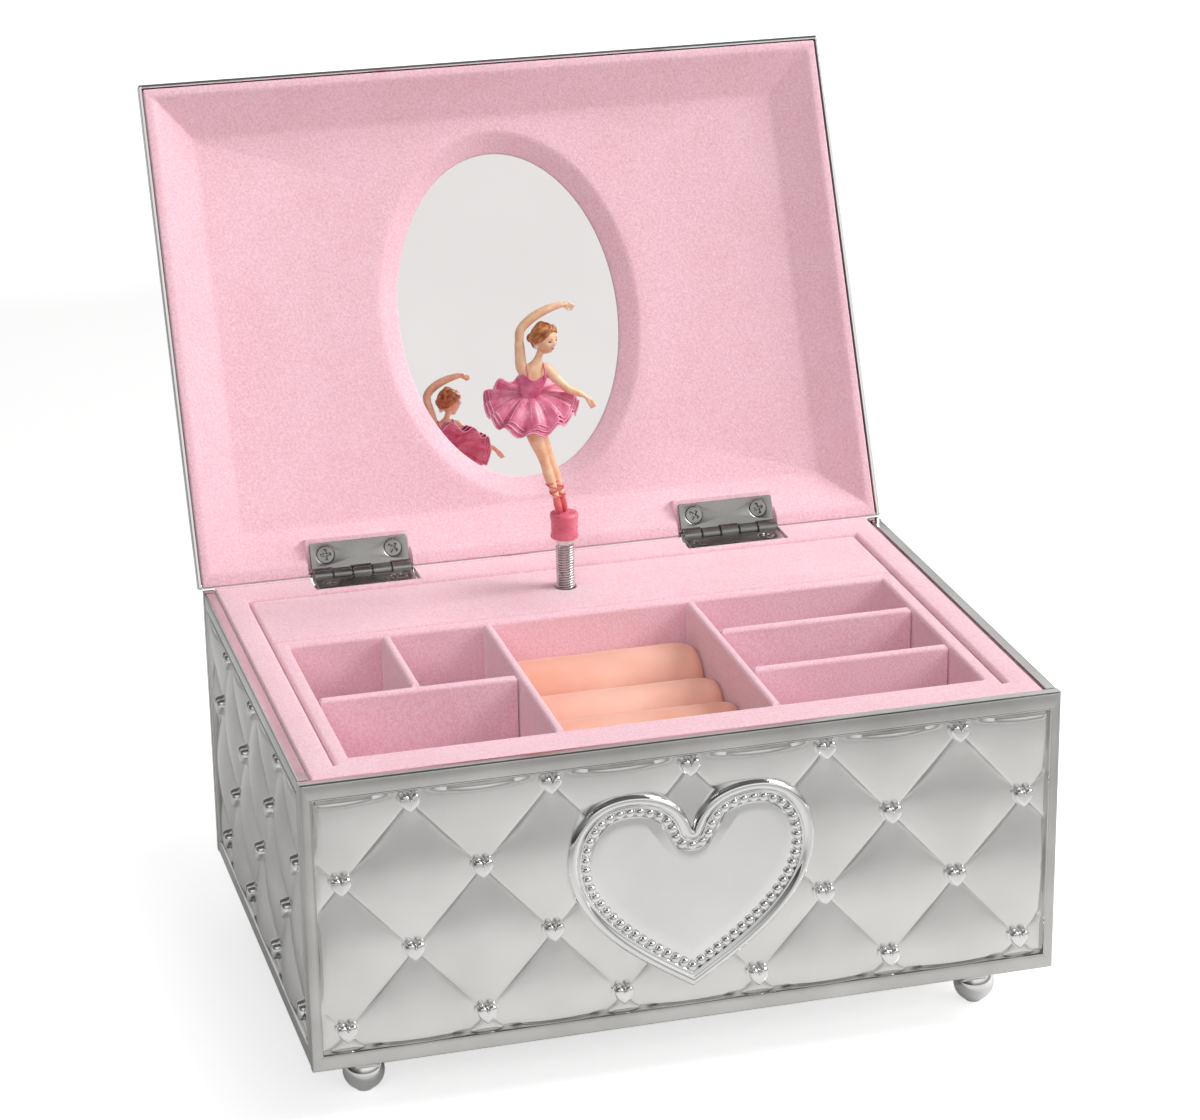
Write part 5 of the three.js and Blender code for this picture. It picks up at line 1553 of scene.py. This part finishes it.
def floor():
    finish = Finish("studio_floor").set(Specular_IOR_Level=0.2)
    finish.shader.inputs["Emission Color"].default_value = (1, 1, 1, 1)
    reach = finish.node("ShaderNodeVectorMath", operation="LENGTH")
    finish.link(finish.node("ShaderNodeTexCoord").outputs["Object"], reach.inputs[0])
    clouded = finish.node("ShaderNodeMath", operation="MULTIPLY_ADD")
    clouded.inputs[1].default_value = 0.12
    finish.link(finish.noise(160, 2), clouded.inputs[0])
    finish.link(reach.outputs["Value"], clouded.inputs[2])
    shades = ((0.2, 0.74), (0.36, 0.41), (0.62, 0.37), (0.95, 0.85))
    finish.colour(finish.ramp(clouded.outputs[0], *[(at, (tone, tone, tone)) for at, tone in shades]))
    glow = finish.node("ShaderNodeMath", operation="MULTIPLY")
    glow.inputs[1].default_value = FLOOR_GLOW
    finish.link(finish.node("ShaderNodeLightPath").outputs["Is Camera Ray"], glow.inputs[0])
    finish.link(glow.outputs[0], finish.shader.inputs["Emission Strength"])
    finish.roughness(finish.grey(finish.noise(20, 3), 0.55, 0.65))
    mesh = bpy.data.meshes.new("floor")
    far = 6.0
    mesh.from_pydata([(-far, -far, 0), (far, -far, 0), (far, far, 0), (-far, far, 0)], [], [(0, 1, 2, 3)])
    mesh.materials.append(finish.material)
    add_object("floor", mesh)


def surroundings():
    """What the metal reflects: dim at the horizon, bright above it, dark overhead and to the left."""
    world = bpy.data.worlds.new("studio")
    bpy.context.scene.world = world
    world.use_nodes = True
    tree = world.node_tree
    sky = tree.nodes["Background"]
    place = tree.nodes.new("ShaderNodeTexCoord").outputs["Generated"]
    parts = tree.nodes.new("ShaderNodeSeparateXYZ")
    tree.links.new(place, parts.inputs[0])

    def band(axis, *stops):
        ramp = tree.nodes.new("ShaderNodeValToRGB")
        set_stops(ramp, [(at, (tone,) * 3) for at, tone in stops])
        shift = tree.nodes.new("ShaderNodeMath")
        shift.operation = "MULTIPLY_ADD"
        shift.inputs[1].default_value = 0.5
        shift.inputs[2].default_value = 0.5
        tree.links.new(parts.outputs[axis], shift.inputs[0])
        tree.links.new(shift.outputs[0], ramp.inputs["Fac"])
        return ramp.outputs["Color"]

    height = band("Z", (0.5, 0.3), (0.56, 0.34), (0.62, 0.75), (0.7, 1.0), (0.8, 0.95), (0.86, 0.14),
                  (1.0, 0.12))
    sides = band("X", (0.0, 0.14), (0.2, 0.3), (0.36, 0.95), (1.0, 1.0))
    mix = tree.nodes.new("ShaderNodeMix")
    mix.data_type = "RGBA"
    mix.blend_type = "MULTIPLY"
    mix.inputs["Factor"].default_value = 1.0
    tree.links.new(height, mix.inputs["A"])
    tree.links.new(sides, mix.inputs["B"])
    tree.links.new(mix.outputs["Result"], sky.inputs["Color"])
    sky.inputs["Strength"].default_value = 0.9


def studio():
    floor()
    surroundings()
    softbox("key_light", (1.3, -0.25, 1.15), (0, 0, 0.08), (0.8, 0.8), 21, (1.0, 0.99, 0.975))
    for light in (softbox("top_light", (0.25, 0.1, 1.7), (0, 0, 0.08), (0.9, 0.6), 8),
                  softbox("fill_light", (-0.6, -1.3, 0.9), (0, 0, 0.1), (0.9, 0.7), 6.8)):
        light.visible_glossy = False
    view = bpy.context.scene.view_settings
    view.view_transform = "Standard"


camera()
case_walls()
heart_medallion()
feet()
case_lining()
platform()
tray()
ring_rolls()
lid_shell()
lid_lining()
oval_mirror()
hinges()
neck_spring()
figure_cup()
dancer_skin()
dancer_head()
dancer_dress()
tutu_skirt()
winding_key()
carried_over()
studio()
